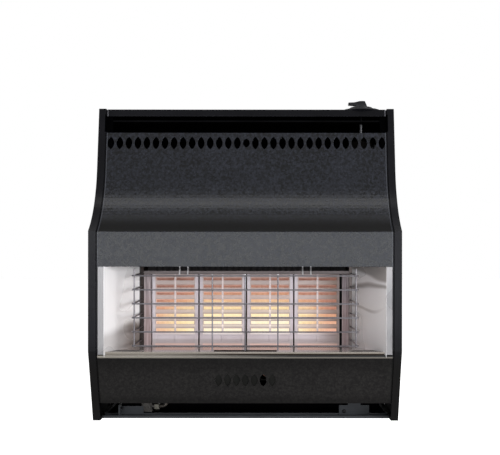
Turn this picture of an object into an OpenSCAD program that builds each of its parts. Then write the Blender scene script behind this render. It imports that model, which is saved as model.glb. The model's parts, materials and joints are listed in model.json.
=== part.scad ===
// Wall mounted radiant gas fire, built from its separate pressings, castings and pipes.
// Heights are measured from the base of the casing and depths from the wall plane (y = 0).
// The front faces -Y.  in_place() then lowers everything to the centre of the wall fixings.

/* [Casing] */
// Overall width across the cheeks
casing_w = 590; // [570:5:640]
// Overall height of the casing
casing_h = 613; // [605:1:640]
// Depth from the wall to the fascia
casing_d = 225; // [218:1:240]
// Thickness of the casing sheet
sheet_t = 1.2; // [1:0.1:1.6]
// Depth of the top from the wall to its front edge
top_d = 119.5; // [116:0.5:126]
// Lean of the upper front from the vertical, in degrees
lean_angle = 9.8; // [9:0.1:11]
// Radius of the hollow sweep between the upper front and the fascia
sweep_r = 185; // [170:1:200]
// Height of the upright fascia above the window
fascia_h = 67; // [60:1:74]
// Height at which the front starts to slope back to the toe
toe_top = 138.5; // [136:0.5:142]
// Setback of the toe at the base
toe_set = 46.5; // [40:0.5:52]
// Width of the cheek's front flange
flange_w = 14; // [12:0.5:16]
// Width of the joggled ledge that the front panels lie on
ledge_w = 14; // [12:0.5:16]
// Setback of the front panels behind the cheek's edge
panel_set = 3; // [2:0.5:4]
// Shadow gap between a front panel and the cheek
panel_gap = 2.5; // [1:0.5:4]

/* [Top and warm air outlet] */
// Height of the top trim
trim_h = 15; // [13:0.5:17]
// Depth of the lip turned back under the trim
trim_lip = 6; // [3:0.5:8]
// Distance of the top panel below the tops of the cheeks
top_set = 1; // [0.5:0.25:2]
// Distance of the outlet deflector's front edge below the trim
deflector_drop = 8; // [6:0.5:12]
// Rise of the deflector towards the wall
deflector_rise = 8; // [4:0.5:11]
// Depth of the hem on the deflector's front edge
deflector_hem = 3; // [2:0.5:5]

/* [Hood] */
// Height of the warm air outlet between the trim and the hood
outlet_h = 34; // [30:0.5:38]
// Height of the lower edge of the hood, which is the top of the window
window_top = 298; // [296:0.5:300]
// Depth of the lip turned back under the hood
hood_lip = 12; // [8:0.5:14]
// Number of vent slots in the hood
hood_slots = 31; // [27:2:31]
// Distance between the end slots and the hood's edges
slot_margin = 1.75; // [1:0.25:8]
// Distance of the vent slots' centres below the hood's top edge
slot_drop = 21; // [19:0.5:24]
// Width of a vent slot
slot_w = 13.5; // [10:0.5:14.5]
// Height of a vent slot
slot_h = 26; // [20:0.5:28]
// Height of the shorter slot in the middle of the hood
middle_slot_h = 18; // [14:0.5:26]

/* [Lower panel and base] */
// Height of the lower edge of the lower panel
lower_bottom = 35; // [30:0.5:42]
// Number of slots in the lower panel
lower_slots = 7; // [5:2:9]
// Distance between slots in the lower panel
lower_pitch = 17; // [16:0.5:18]
// Height of the slots' centres above the lower panel's lower edge
lower_slot_rise = 46.5; // [41:0.5:51]
// Which slot, counted from the left, is open for viewing the pilot
view_slot = 6; // [1:1:7]
// Height of the shutter plate behind the lower slots
shutter_h = 40; // [34:1:44]
// Setback of the base rail behind the fascia
rail_set = 70; // [64:1:74]
// Depth of the base rail
rail_d = 30; // [24:1:32]
// Height of the base rail's lips
rail_h = 5; // [4:0.5:6]
// Height of the plates of the foot brackets
foot_h = 20; // [16:0.5:22]
// Width of the right foot bracket's plate
foot_w = 60; // [50:1:66]
// Distance of the right foot bracket from the casing's side
foot_inset = 50; // [40:1:60]
// Depth of the foot brackets' lower flanges
foot_flange = 18; // [12:0.5:22]

/* [Window] */
// Height of the nosing bead's centre
nosing_z = 128.2; // [127.5:0.1:128.8]
// Radius of the nosing bead
nosing_r = 3.6; // [3.2:0.1:4]
// Depth of the nosing's tail under the floor
nosing_tail = 12; // [8:0.5:20]
// Thickness of the polished reflector sheet
reflector_t = 0.8; // [0.6:0.1:1]
// Distance of the reflectors' rear edges outside the firebox
bay_margin = 4.5; // [2.5:0.5:6.5]
// Depth of the bay from the fascia to the reflectors' rear edge
bay_d = 102; // [98:0.5:104]
// Height of the reflector floor above the nosing's tail
floor_rise = 6.5; // [4:0.5:6.5]
// Width of the slot in the reflector floor
floor_slot_w = 119; // [90:1:130]
// Distance of that slot behind the floor's front edge
floor_slot_set = 6; // [4:0.5:26]

/* [Dress guard] */
// Radius of the guard wire
wire_r = 1.4; // [1.2:0.1:1.6]
// Number of horizontal wires
wire_rows = 6; // [5:1:6]
// Distance of the lowest horizontal wire above the nosing's centre
guard_above = 19.8; // [16:0.2:24]
// Distance of the highest horizontal wire below the top of the window
guard_below = 17.5; // [16:0.5:20]
// Distance of the guard's corners from the reflectors
guard_gap = 49; // [44:0.5:60]
// Distance of the guard's front run behind the fascia
guard_set = 9; // [8:0.5:12]
// How far the guard's returned ends rise towards the rear
guard_rise = 3; // [0:0.5:5]

/* [Radiants and firebox] */
// Number of ceramic radiants, which the sheet metal is made for
radiants = 4; // [4:1:4]
// Gap between two radiants
radiant_gap = 3; // [2:0.5:5]
// Distance of the radiants' tops below the top of the window
radiant_below = 16.6; // [15:0.2:20]
// Depth of a radiant
radiant_d = 30; // [28:0.5:31]
// Thickness of a radiant's walls
radiant_wall = 6; // [5:0.5:8]
// Number of rows of glowing slots in a radiant
radiant_rows = 8; // [7:1:9]
// Distance of the highest row of slots below a radiant's top
row_top = 10; // [9:0.5:12]
// Distance of the lowest row of slots above a radiant's foot
row_bottom = 30.6; // [28:0.2:34]
// Height of one slot
row_slot = 6; // [5:0.5:8]
// Width of the fire bricks beside the radiants
brick_w = 14.7; // [12:0.1:17]
// Step from the reflector floor's rear edge up to the radiants' shelf
shelf_step = 0.55; // [0.3:0.05:2]
// Room between the firebox and the casing's side, for the gas pipes
side_room = 88.5; // [86:0.5:92]
// Depth of the firebox below the radiants' shelf
firebox_skirt = 42.3; // [38:0.1:46]
// Height of the firebox above the radiants, up to the heat exchanger
chamber_h = 26.6; // [24:0.2:30]
// Depth of the firebox
firebox_d = 72; // [70:1:76]
// Thickness of firebox and heat exchanger sheet
box_t = 1; // [0.8:0.1:1.2]
// Thickness of the ceramic fire back
fireback_t = 18; // [14:0.5:20]

/* [Heat exchanger and flue] */
// Setback of the heat exchanger's sides from the firebox's
exchanger_set = 16.5; // [14:0.5:22]
// Distance of the heat exchanger's top below the hood's top edge
exchanger_drop = 59; // [58:1:69]
// Height of the flue spigot's centre above the firebox
flue_rise = 44; // [44:1:52]
// Width of the flue spigot
flue_w = 116; // [100:1:124]
// Height of the flue spigot
flue_h = 58; // [50:1:62]
// How far the spigot reaches behind the wall plane
flue_reach = 25; // [15:1:40]
// Distance of the flue baffle in front of the exchanger's rear wall
baffle_set = 26; // [20:1:28]
// Gap over the flue baffle
baffle_gap = 36; // [30:1:50]

/* [Burner and pilot] */
// Distance of the burner's centre line below the radiants' shelf
burner_drop = 22.3; // [22:0.1:24]
// Width of the burner box, front to back
burner_w = 20; // [16:0.5:22]
// Height of the burner box
burner_h = 22; // [18:0.5:23]
// Radius of the burner's mixing tube
mixer_r = 9; // [8:0.5:10]
// Number of burner ports in each row
burner_ports = 24; // [12:1:30]
// Distance of the pilot group right of the centre
pilot_x = 34; // [25:1:45]

/* [Gas tap and knob] */
// Distance of the tap's axis from the casing's right side
tap_inset = 62; // [57:1:65]
// Distance of the tap's axis from the wall
tap_y = 85; // [83:0.5:87]
// Radius of the tap's turning plug
plug_r = 7; // [6:0.5:8]
// Running clearance of the plug in its bore
plug_clear = 0.05; // [0.02:0.01:0.08]
// Radius of the spindle
spindle_r = 3; // [2.5:0.25:3.5]
// How far the knob pushes in to light the pilot
push_travel = 3.5; // [2:0.5:4]
// Radius of the knob's skirt
knob_r = 24; // [20:0.5:26]
// Length of the knob's lever from its axis
lever_l = 26.5; // [24:0.5:32]
// Height of the knob's top above the casing's top
knob_h = 23; // [21:0.5:26]
// Width of the bezel plate around the knob
bezel_w = 82; // [72:1:86]
// Height of the bezel plate around the knob
bezel_t = 7.3; // [6.5:0.1:9]

/* [Gas inlet] */
// Distance of the inlet elbow from the casing's left side
inlet_inset = 96; // [90:1:105]
// Height of the inlet elbow's centre line
inlet_z = 16.4; // [15:0.2:18]
// Radius of the socket for the gas supply pipe
inlet_r = 4.05; // [4.02:0.01:4.2]
// Depth of the socket for the gas supply pipe
inlet_l = 12; // [8:0.5:14]
// Radius of the isolating screw
isolator_r = 5; // [4:0.5:6]
// Radius of the main gas pipes
pipe_r = 4; // [3:0.5:4]
// Radius of the pilot pipe
pilot_pipe_r = 2; // [1.5:0.25:2]
// Height at which the supply pipe crosses the casing behind the lower panel
crossing_z = 48; // [44:1:56]

/* [Wall fixings] */
// Distance of the fixing holes from the casing's sides
fixing_inset = 20; // [18:0.5:25]
// Distance between the upper and lower fixing holes
fixing_h = 420; // [380:1:430]
// Height of the centre of the fixing pattern above the base
fixing_z = 320; // [310:1:330]
// Radius of a fixing hole
fixing_r = 3.5; // [2.5:0.25:4]

/* [Hidden] */
$fn = 48;

seat = 0.3;                              // clearance between pieces that lie on each other
half_w = casing_w / 2;
front_y = -casing_d;
trim_bottom = casing_h - trim_h;
hood_top = trim_bottom - outlet_h;
fascia_top = window_top + fascia_h;
toe_angle = atan(toe_set / toe_top);
panel_half = half_w - flange_w - panel_gap;
ledge_inner = half_w - flange_w - ledge_w;
ledge_front = panel_set + sheet_t;       // inset of the ledge's front face
ledge_back = ledge_front + sheet_t;      // inset of the ledge's rear face

// --- Folded sheet: a polyline with mitred corners, thickened to its left --------------------

function unit(v) = v / norm(v);
function left_normal(a, b) = let (u = unit(b - a)) [-u[1], u[0]];
function corner_normal(p, i) =
    let (
        last = len(p) - 1,
        before = left_normal(p[max(i, 1) - 1], p[max(i, 1)]),
        after = left_normal(p[min(i, last - 1)], p[min(i, last - 1) + 1])
    )
    (before + after) / (1 + before * after);

module fold(points, t) {
    far_side = [for (i = [len(points) - 1:-1:0]) points[i] + t * corner_normal(points, i)];
    polygon(concat(points, far_side));
}

// A section drawn in Y and Z, carried from x0 to x1
module section(x0, x1) {
    translate([x0, 0, 0]) rotate([90, 0, 90]) linear_extrude(x1 - x0) children();
}

// A box given by its two corners
module block(low, high) {
    translate(low) cube(high - low);
}

// --- Round tubes swept along a route ------------------------------------------------------

skew = [1, 2, 3];                        // never along a tube, so every ring has a sideways
bend_steps = 4;

function ring(p, t, r, sides) =
    let (u = unit(cross(t, skew)), v = cross(t, u))
    [for (i = [0:sides - 1]) p + r * (cos(360 * i / sides) * u + sin(360 * i / sides) * v)];

// The route with each inner corner turned into a smooth bend
function bent(p, bend) = concat(
    [p[0]],
    [for (i = [1:len(p) - 2])
        let (a = p[i] + bend * unit(p[i - 1] - p[i]), b = p[i] + bend * unit(p[i + 1] - p[i]))
        for (k = [0:bend_steps])
            let (s = k / bend_steps)
            (1 - s) * (1 - s) * a + 2 * s * (1 - s) * p[i] + s * s * b],
    [p[len(p) - 1]]);

module sweep(route, r, sides) {
    last = len(route) - 1;
    rings = [for (k = [0:last])
        ring(route[k], unit(route[min(k + 1, last)] - route[max(k - 1, 0)]), r, sides)];
    walls = [for (k = [0:last - 1], i = [0:sides - 1])
        let (j = (i + 1) % sides)
        [k * sides + i, (k + 1) * sides + i, (k + 1) * sides + j, k * sides + j]];
    start_cap = [for (i = [0:sides - 1]) i];
    end_cap = [for (i = [sides - 1:-1:0]) last * sides + i];
    polyhedron([for (one = rings) each one], concat(walls, [start_cap, end_cap]), convexity = 6);
}

// --- The casing's side outline, drawn in Y and Z -------------------------------------------

// Direction down the lean, and the normal that points forward from it
lean_dir = [-sin(lean_angle), -cos(lean_angle)];
lean_out = [-cos(lean_angle), sin(lean_angle)];
// The sweep touches the lean and passes through the fascia's top edge
lean_start = [-top_d, casing_h] + sweep_r * lean_out - [front_y, fascia_top];
lean_along = lean_start * lean_dir;
lean_length =
    -lean_along - sqrt(lean_along * lean_along - lean_start * lean_start + sweep_r * sweep_r);
sweep_c = [-top_d, casing_h] + lean_length * lean_dir + sweep_r * lean_out;
sweep_steps = 20;

function lean_y(z, inset) =
    -top_d + inset / cos(lean_angle) - (casing_h - z) * tan(lean_angle);
function toe_y(z, inset) = front_y + inset / cos(toe_angle) + (toe_top - z) * tan(toe_angle);
function toe_corner(inset) = toe_top - inset * (1 - 1 / cos(toe_angle)) / tan(toe_angle);
function sweep_end(inset) = -acos((front_y + inset - sweep_c[0]) / (sweep_r + inset));
function sweep_point(inset, s) =
    let (a = sweep_end(inset) * (1 - s) - lean_angle * s)
    sweep_c + (sweep_r + inset) * [cos(a), sin(a)];

// Height of the outline's top, which the panel's layers reach to top_set below the cheek
function top_z(inset) = casing_h - inset + (inset < panel_set ? 0 : panel_set - top_set);

function outline(inset, back) = concat(
    [[back, inset], [toe_y(inset, inset), inset], [front_y + inset, toe_corner(inset)]],
    [for (i = [0:sweep_steps]) sweep_point(inset, i / sweep_steps)],
    [[lean_y(top_z(inset), inset), top_z(inset)], [back, top_z(inset)]]);

// The layer of the outline between two insets, open towards the wall
module layer(from, to, back = 0) {
    difference() {
        polygon(outline(from, back));
        polygon(outline(to, back + 1));
    }
}

// The part of a section between two heights
module between(z0, z1) {
    intersection() {
        children();
        translate([-casing_d - 1, z0]) square([casing_d + 2, z1 - z0]);
    }
}

module in_place() {
    translate([0, 0, -fixing_z]) children();
}

// A pointed slot with curved sides, centred
module slot_shape(w, h) {
    r = (w * w + h * h) / (4 * w);
    intersection() {
        translate([r - w / 2, 0]) circle(r, $fn = 96);
        translate([w / 2 - r, 0]) circle(r, $fn = 96);
    }
}

// --- Casing ---------------------------------------------------------------------------------

side_flange = 18;                        // depth of the back panel's side flanges
back_bottom = 30;                        // height of the back panel's lower edge
screw_r = 2;
screw_hole_r = screw_r + 0.2;
screw_heights = [80, fixing_z, casing_h - 75];

module side_screw_holes() {
    for (z = screw_heights)
        translate([0, -side_flange / 2, z])
            rotate([0, 90, 0]) cylinder(h = casing_w + 2, r = screw_hole_r, center = true, $fn = 24);
}

module flue_outline(grow) {
    r = flue_h / 2 + grow;
    run = flue_w / 2 - flue_h / 2;
    square([2 * run, 2 * r], center = true);
    for (side = [-1, 1])
        translate([side * run, 0]) circle(r);
}

module back_panel() {
    back_top = top_z(ledge_front);
    color("dimgray") in_place() difference() {
        union() {
            block([-half_w + sheet_t, -sheet_t, back_bottom], [half_w - sheet_t, 0, back_top]);
            for (side = [-1, 1])
                translate([side * (half_w - sheet_t * 1.5), -side_flange / 2, (back_bottom + back_top) / 2])
                    cube([sheet_t, side_flange, back_top - back_bottom], center = true);
        }
        for (x = [-1, 1], z = [-1, 1])
            translate([x * (half_w - fixing_inset), 1, fixing_z + z * fixing_h / 2])
                rotate([90, 0, 0]) cylinder(h = sheet_t + 2, r = fixing_r, $fn = 32);
        translate([0, 1, flue_z]) rotate([90, 0, 0]) linear_extrude(sheet_t + 2) flue_outline(1);
        side_screw_holes();
    }
}

module cheek() {
    color([0.2, 0.2, 0.22]) in_place() difference() {
        union() {
            section(half_w - sheet_t, half_w) polygon(outline(0, 0));
            section(half_w - flange_w, half_w - sheet_t / 2) layer(0, sheet_t, -sheet_t);
            section(half_w - flange_w, half_w - flange_w + sheet_t) layer(0, ledge_back, -sheet_t);
            section(ledge_inner, half_w - flange_w + sheet_t)
                between(lower_bottom, casing_h) layer(ledge_front, ledge_back, -sheet_t);
        }
        side_screw_holes();
    }
}

module left_cheek() {
    mirror([1, 0, 0]) cheek();
}

module right_cheek() {
    cheek();
}

module top_panel() {
    lip_y = lean_y(trim_bottom, panel_set);
    color([0.12, 0.12, 0.13]) in_place() difference() {
        union() {
            section(-panel_half, panel_half)
                between(trim_bottom, casing_h) layer(panel_set, ledge_front);
            block([-ledge_inner + seat, lip_y, trim_bottom],
                [ledge_inner - seat, lip_y + trim_lip, trim_bottom + sheet_t]);
        }
        translate([tap_x, -tap_y, top_surface - 2 * sheet_t])
            cylinder(h = 3 * sheet_t, r = spindle_r + 4);
    }
}

deflector_z = trim_bottom - deflector_drop;

module outlet_deflector() {
    front = lean_y(deflector_z, ledge_back) + seat;
    edge = half_w - 2 * sheet_t;
    color([0.1, 0.1, 0.1]) in_place() difference() {
        section(-edge, edge)
            fold([[-sheet_t - seat, deflector_z + deflector_rise], [front, deflector_z],
                [front, deflector_z - deflector_hem]], sheet_t);
        translate([tap_x, -tap_y, deflector_z - 10]) cylinder(h = 30, r = spindle_r + 2);
    }
}

// --- Front panels ---------------------------------------------------------------------------

hood_slot_z = hood_top - slot_drop;
hood_pitch = (2 * (panel_half - slot_margin) - slot_w) / (hood_slots - 1);

module hood() {
    color([0.3, 0.31, 0.33]) in_place() difference() {
        union() {
            section(-panel_half, panel_half)
                between(window_top, hood_top) layer(panel_set, ledge_front);
            block([-ledge_inner + seat, front_y + panel_set, window_top],
                [ledge_inner - seat, front_y + panel_set + hood_lip, window_top + sheet_t]);
        }
        for (i = [0:hood_slots - 1])
            translate([(i - (hood_slots - 1) / 2) * hood_pitch,
                lean_y(hood_slot_z, ledge_front), hood_slot_z])
                rotate([90 - lean_angle, 0, 0]) linear_extrude(4 * sheet_t, center = true)
                    slot_shape(slot_w, 2 * i == hood_slots - 1 ? middle_slot_h : slot_h);
    }
}

lower_top = nosing_z - nosing_r - seat;
lower_lip = 10;                          // depth of the lip turned back under the lower panel
lower_slot_z = lower_bottom + lower_slot_rise;

module lower_slot(i, grow) {
    translate([(i - (lower_slots + 1) / 2) * lower_pitch,
        toe_y(lower_slot_z, ledge_front), lower_slot_z])
        rotate([90 + toe_angle, 0, 0])
            linear_extrude(10 * sheet_t, center = true) slot_shape(slot_w + grow, slot_h + grow);
}

module lower_panel() {
    lip_y = toe_y(lower_bottom, panel_set);
    color([0.16, 0.16, 0.17]) in_place() difference() {
        union() {
            section(-panel_half, panel_half)
                between(lower_bottom, lower_top) layer(panel_set, ledge_front);
            block([-ledge_inner + seat, lip_y, lower_bottom],
                [ledge_inner - seat, lip_y + lower_lip, lower_bottom + sheet_t]);
        }
        for (i = [1:lower_slots])
            lower_slot(i, 0);
    }
}

module slot_shutter() {
    w = (lower_slots + 1) * lower_pitch;
    color([0.08, 0.08, 0.08]) in_place() difference() {
        section(-w / 2, w / 2)
            between(lower_slot_z - shutter_h / 2, lower_slot_z + shutter_h / 2)
                layer(ledge_front, ledge_back);
        lower_slot(view_slot, 1);
    }
}

// --- Base -----------------------------------------------------------------------------------

foot_y = front_y + rail_set + rail_d - 3;    // front face of both foot brackets
inlet_x = half_w - inlet_inset;              // distance of the inlet elbow left of the centre
inlet_y = foot_y + sheet_t + 14.5;           // centre line of the inlet elbow
foot_x = half_w - foot_inset - foot_w;
foot_hole = [10, 8];                         // place of the right foot's screw in its plate
inlet_plate = [5.4, 44];                     // the left foot's plate: gap to the elbow's axis, width
inlet_post = 3;                              // thickness of the left foot's upright

module base_rail() {
    y0 = front_y + rail_set;
    edge = half_w - flange_w;
    color([0.2, 0.2, 0.2]) in_place() section(-edge, edge)
        fold([[y0 + rail_d, rail_h], [y0 + rail_d, 0], [y0, 0], [y0, rail_h]], -sheet_t);
}

// Closes the bottom behind the rail, and leaves a way for the gas supply at the wall
module base_plate() {
    rear = -sheet_t - seat;
    front = front_y + rail_set + rail_d + seat;
    edge = half_w - flange_w - seat;
    color([0.12, 0.12, 0.13]) in_place() section(-edge, edge)
        fold([[rear, rail_h], [rear, 0], [front, 0], [front, rail_h]], -sheet_t);
}

// Right foot: a plate standing in the rail, with a strap up to the reflector
module foot_bracket() {
    strap_x = foot_x + 18;
    strap_w = 25;
    color([0.32, 0.34, 0.36]) in_place() difference() {
        union() {
            block([foot_x, foot_y, sheet_t], [foot_x + foot_w, foot_y + sheet_t, sheet_t + foot_h]);
            block([strap_x, foot_y, sheet_t], [strap_x + strap_w, foot_y + sheet_t, reflector_bottom]);
            block([foot_x, foot_y - foot_flange, sheet_t],
                [foot_x + foot_w, foot_y + sheet_t, 2 * sheet_t]);
        }
        translate([foot_x + foot_hole[0], foot_y + 2, sheet_t + foot_hole[1]])
            rotate([90, 0, 0]) cylinder(h = 4, r = screw_hole_r, $fn = 24);
    }
}

inlet_screw_set = 8;                         // distance of the left foot's screw in front of its plate

// Left foot: a plate that carries the inlet elbow, with an upright at its outer end
module inlet_bracket() {
    x1 = -inlet_x - inlet_plate[0];
    x0 = x1 - inlet_plate[1];
    color([0.3, 0.3, 0.31]) in_place() difference() {
        union() {
            block([x0, foot_y, sheet_t], [x1, foot_y + sheet_t, foot_h - 1]);
            block([x0 - inlet_post, foot_y - foot_flange, sheet_t],
                [x0, foot_y + sheet_t, foot_h + 4]);
            block([x0, foot_y - foot_flange, sheet_t], [x1, foot_y + sheet_t, 2 * sheet_t]);
        }
        translate([x0 - inlet_post - 1, foot_y - inlet_screw_set, inlet_z])
            rotate([0, 90, 0]) cylinder(h = inlet_post + 2, r = screw_hole_r, $fn = 24);
    }
}

// --- Window: nosing, floor and side reflectors ----------------------------------------------

tail_h = 4.5;                            // height of the nosing's tail
tail_top = nosing_z + tail_h / 2;
floor_top = tail_top + floor_rise;       // face of the reflector floor
reflector_bottom = nosing_z - 1;
reflector_top = window_top - seat;
firebox_half = half_w - side_room;
bay_rear = firebox_half + bay_margin;    // half width between the reflectors at the rear
bay_front = ledge_inner - 1;             // half width between the reflectors at the front
bay_front_y = front_y + ledge_front - reflector_t;
bay_rear_y = front_y + bay_d;
floor_front_y = toe_y(tail_top, ledge_front);

// Half width of the bay between the mirrors at a distance from the wall
function bay_half(y) =
    bay_front + (bay_rear - bay_front) * (y - bay_front_y) / (bay_rear_y - bay_front_y);

module bay_plan(y0, y1) {
    gap = 1.5 * seat;
    linear_extrude(casing_h) polygon([
        [gap - bay_half(y0), y0], [bay_half(y0) - gap, y0],
        [bay_half(y1) - gap, y1], [gap - bay_half(y1), y1]]);
}

bead_y = toe_y(nosing_z, ledge_front + 1);

module floor_nosing() {
    tail_front = bead_y - nosing_r / 2;
    color([0.75, 0.74, 0.7]) in_place() {
        section(-panel_half, panel_half) difference() {
            translate([bead_y, nosing_z]) circle(nosing_r);
            polygon(outline(ledge_front, 0));
        }
        intersection() {
            block([-half_w, tail_front, nosing_z - tail_h / 2],
                [half_w, bead_y + nosing_tail, tail_top]);
            bay_plan(tail_front, bead_y + nosing_tail);
        }
    }
}

// A level mirror whose front edge is turned down onto the nosing's tail
module reflector_floor() {
    slot_y = floor_front_y + floor_slot_set;
    color([0.85, 0.84, 0.82]) in_place() difference() {
        intersection() {
            section(-half_w, half_w)
                fold([[bay_rear_y, floor_top], [floor_front_y, floor_top], [floor_front_y, tail_top]],
                    reflector_t);
            bay_plan(floor_front_y, bay_rear_y);
        }
        block([-floor_slot_w / 2, slot_y, floor_top - 2], [floor_slot_w / 2, slot_y + 3, shelf_z]);
    }
}

// A side reflector: a splayed mirror with a front flange on the cheek's ledge
// and a rear flange turned outwards onto the firebox
module side_reflector() {
    rear_flange = 9;
    mirror_line = [[bay_front, bay_front_y], [bay_rear, bay_rear_y],
        [bay_rear + rear_flange, bay_rear_y]];
    flange_line = [[panel_half - 1, bay_front_y], [bay_front, bay_front_y]];
    flange_z = nosing_z + nosing_r + seat;
    color([0.85, 0.84, 0.82]) in_place() {
        difference() {
            translate([0, 0, reflector_bottom]) linear_extrude(reflector_top - reflector_bottom)
                fold(mirror_line, -reflector_t);
            section(0, half_w) translate([bead_y, nosing_z]) circle(nosing_r + seat);
        }
        translate([0, 0, flange_z]) linear_extrude(reflector_top - flange_z)
            fold(flange_line, -reflector_t);
    }
}

module reflector_left() {
    mirror([1, 0, 0]) side_reflector();
}

module reflector_right() {
    side_reflector();
}

// --- Dress guard: six bent wires tacked to uprights, with two hooks behind the hood's lip ----

guard_y = front_y + guard_set;
guard_half = bay_half(guard_y) - guard_gap;
guard_end = [bay_rear - 3, bay_rear_y + reflector_t - wire_r - seat];
tack = 1.85 * wire_r;                    // distance between the centres of two tacked wires
guard_run = 40;                          // straight part of the returned ends
upright_in = 4;                          // distance of the end uprights from the corners
upright_over = 13;                       // rise of the end uprights over the highest wire
guard_z = nosing_z + guard_above;
guard_top = window_top - guard_below;
wire_pitch = (guard_top - guard_z) / (wire_rows - 1);
upright_x = [-62, 0, 62];
hook_x = 116.5;
hook_w = 15.4;

// A straight wire between two points, with round ends a little fuller than the wire
module wire(a, b) {
    run = b - a;
    translate(a) {
        rotate([0, acos(run[2] / norm(run)), atan2(run[1], run[0])])
            cylinder(h = norm(run), r = wire_r, $fn = 16);
        sphere(wire_r * 1.04, $fn = 16);
    }
    translate(b) sphere(wire_r * 1.04, $fn = 16);
}

module wire_run(points) {
    for (i = [1:len(points) - 1])
        wire(points[i - 1], points[i]);
}

module guard_row(z) {
    wire_run([
        [-guard_end[0], guard_end[1], z + guard_rise], [-guard_half, guard_y + guard_run, z],
        [-guard_half, guard_y, z], [guard_half, guard_y, z],
        [guard_half, guard_y + guard_run, z], [guard_end[0], guard_end[1], z + guard_rise]]);
}

module guard_hook(x) {
    lip_y = front_y + panel_set + hood_lip + wire_r + seat;
    low = [guard_y + tack / 2, guard_top + tack / 2];
    wire_run([
        [x - hook_w / 2, low[0], low[1]], [x - hook_w / 2, lip_y, window_top - 2],
        [x - hook_w / 2, lip_y, window_top + 8], [x + hook_w / 2, lip_y, window_top + 8],
        [x + hook_w / 2, lip_y, window_top - 2], [x + hook_w / 2, low[0], low[1]]]);
}

module dress_guard() {
    color([0.6, 0.6, 0.62]) in_place() {
        for (i = [0:wire_rows - 1])
            guard_row(guard_z + i * wire_pitch);
        for (x = upright_x)
            wire([x, guard_y + tack, floor_top + wire_r + seat], [x, guard_y + tack, guard_top + 3]);
        for (side = [-1, 1])
            wire([side * (guard_half - upright_in), guard_y + tack, guard_z - 3],
                [side * (guard_half - upright_in), guard_y + tack, guard_top + upright_over]);
        for (side = [-1, 1])
            guard_hook(side * hook_x);
    }
}

// --- Radiants, bricks and firebox -------------------------------------------------------------

firebox_y = bay_rear_y + reflector_t;    // front edge of the firebox
firebox_back = firebox_y + firebox_d;
inner_half = firebox_half - box_t;
shelf_z = floor_top + reflector_t + shelf_step;
radiant_top = window_top - radiant_below;
radiant_h = radiant_top - shelf_z - seat;
brick_gap = 2;                           // gap between a brick and its radiant
row_w = 2 * (inner_half - seat - brick_w - brick_gap);
radiant_w = (row_w - (radiants - 1) * radiant_gap) / radiants;
radiant_pitch = radiant_w + radiant_gap;
row_pitch = (radiant_h - row_top - row_bottom) / (radiant_rows - 1);
firebox_z = shelf_z - firebox_skirt;
firebox_top = radiant_top + chamber_h;
radiant_y = firebox_y + 4;
chamber_y = radiant_y + radiant_d / 2 + 4;   // centre of the flame chamber
fireback_y = radiant_y + radiant_d + 3;
slot_col_w = (radiant_w - 2 * radiant_wall - 8) / 2;

// One ceramic radiant: a hollow block with louvred slots, open behind and below
module radiant(index) {
    x = (index - (radiants + 1) / 2) * radiant_pitch;
    first_row = radiant_h - row_top;
    color([0.9, 0.86, 0.8]) in_place() translate([x, radiant_y, shelf_z + seat]) difference() {
        block([-radiant_w / 2, 0, 0], [radiant_w / 2, radiant_d, radiant_h]);
        block([radiant_wall - radiant_w / 2, radiant_wall, -1],
            [radiant_w / 2 - radiant_wall, radiant_d + 1, radiant_h - radiant_wall]);
        for (row = [0:radiant_rows - 1], side = [-1, 1])
            translate([side * (slot_col_w / 2 + 2), radiant_wall / 2, first_row - row * row_pitch])
                rotate([-25, 0, 0])
                    cube([slot_col_w, 3 * radiant_wall, row_slot], center = true);
        for (side = [-1, 1])
            translate([side * (slot_col_w / 2 + 2), 0, row_pitch])
                cube([slot_col_w, 1.6, row_slot * 2], center = true);
    }
}

module radiant_1() {
    radiant(1);
}

module radiant_2() {
    radiant(2);
}

module radiant_3() {
    radiant(3);
}

module radiant_4() {
    radiant(4);
}

// The plain fire bricks that close the gap between the radiants and the firebox
module side_bricks() {
    color([0.8, 0.78, 0.76]) in_place()
        for (side = [-1, 1])
            translate([side * (inner_half - seat - brick_w / 2), radiant_y + radiant_d / 2,
                shelf_z + radiant_h / 2])
                cube([brick_w, radiant_d, radiant_h], center = true);
}

// A ceramic slab with upright flutes behind the radiants
module fire_back() {
    w = inner_half - 3;
    flute = 12;
    flutes = floor((2 * w - flute) / flute);
    color([0.7, 0.68, 0.66]) in_place() difference() {
        block([-w, fireback_y, shelf_z], [w, fireback_y + fireback_t, firebox_top - chamber_h / 3]);
        for (i = [0:flutes - 1])
            translate([(i - (flutes - 1) / 2) * flute, fireback_y, shelf_z - 1])
                cylinder(h = firebox_top, r = flute / 3, $fn = 24);
    }
}

// The shelf is open under the radiants, where the flames come up
module radiant_shelf() {
    w = inner_half - seat;
    color([0.35, 0.34, 0.33]) in_place() difference() {
        block([-w, firebox_y + seat, shelf_z - box_t], [w, firebox_back - box_t - seat, shelf_z]);
        block([4 - row_w / 2, radiant_y + 4, shelf_z - 2],
            [row_w / 2 - 4, radiant_y + radiant_d - 1, shelf_z + 1]);
    }
}

// An angle over the radiants' front edge
module radiant_rail() {
    w = inner_half - seat;
    over = radiant_d * 0.4;
    lip = 7;
    color([0.4, 0.37, 0.34]) in_place() section(-w, w)
        fold([[radiant_y + over, radiant_top + seat], [firebox_y + seat, radiant_top + seat],
            [firebox_y + seat, radiant_top + lip]], -box_t);
}

module firebox() {
    flange = 15;
    color([0.25, 0.24, 0.23]) in_place() difference() {
        translate([0, 0, firebox_z]) linear_extrude(firebox_top - firebox_z)
            fold([[firebox_half + flange, firebox_y], [inner_half, firebox_y],
                [inner_half, firebox_back - box_t], [-inner_half, firebox_back - box_t],
                [-inner_half, firebox_y], [-firebox_half - flange, firebox_y]], -box_t);
        translate([inner_half - 2, chamber_y, burner_z])
            rotate([0, 90, 0]) cylinder(h = 6, r = mixer_r + seat);
    }
}

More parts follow.
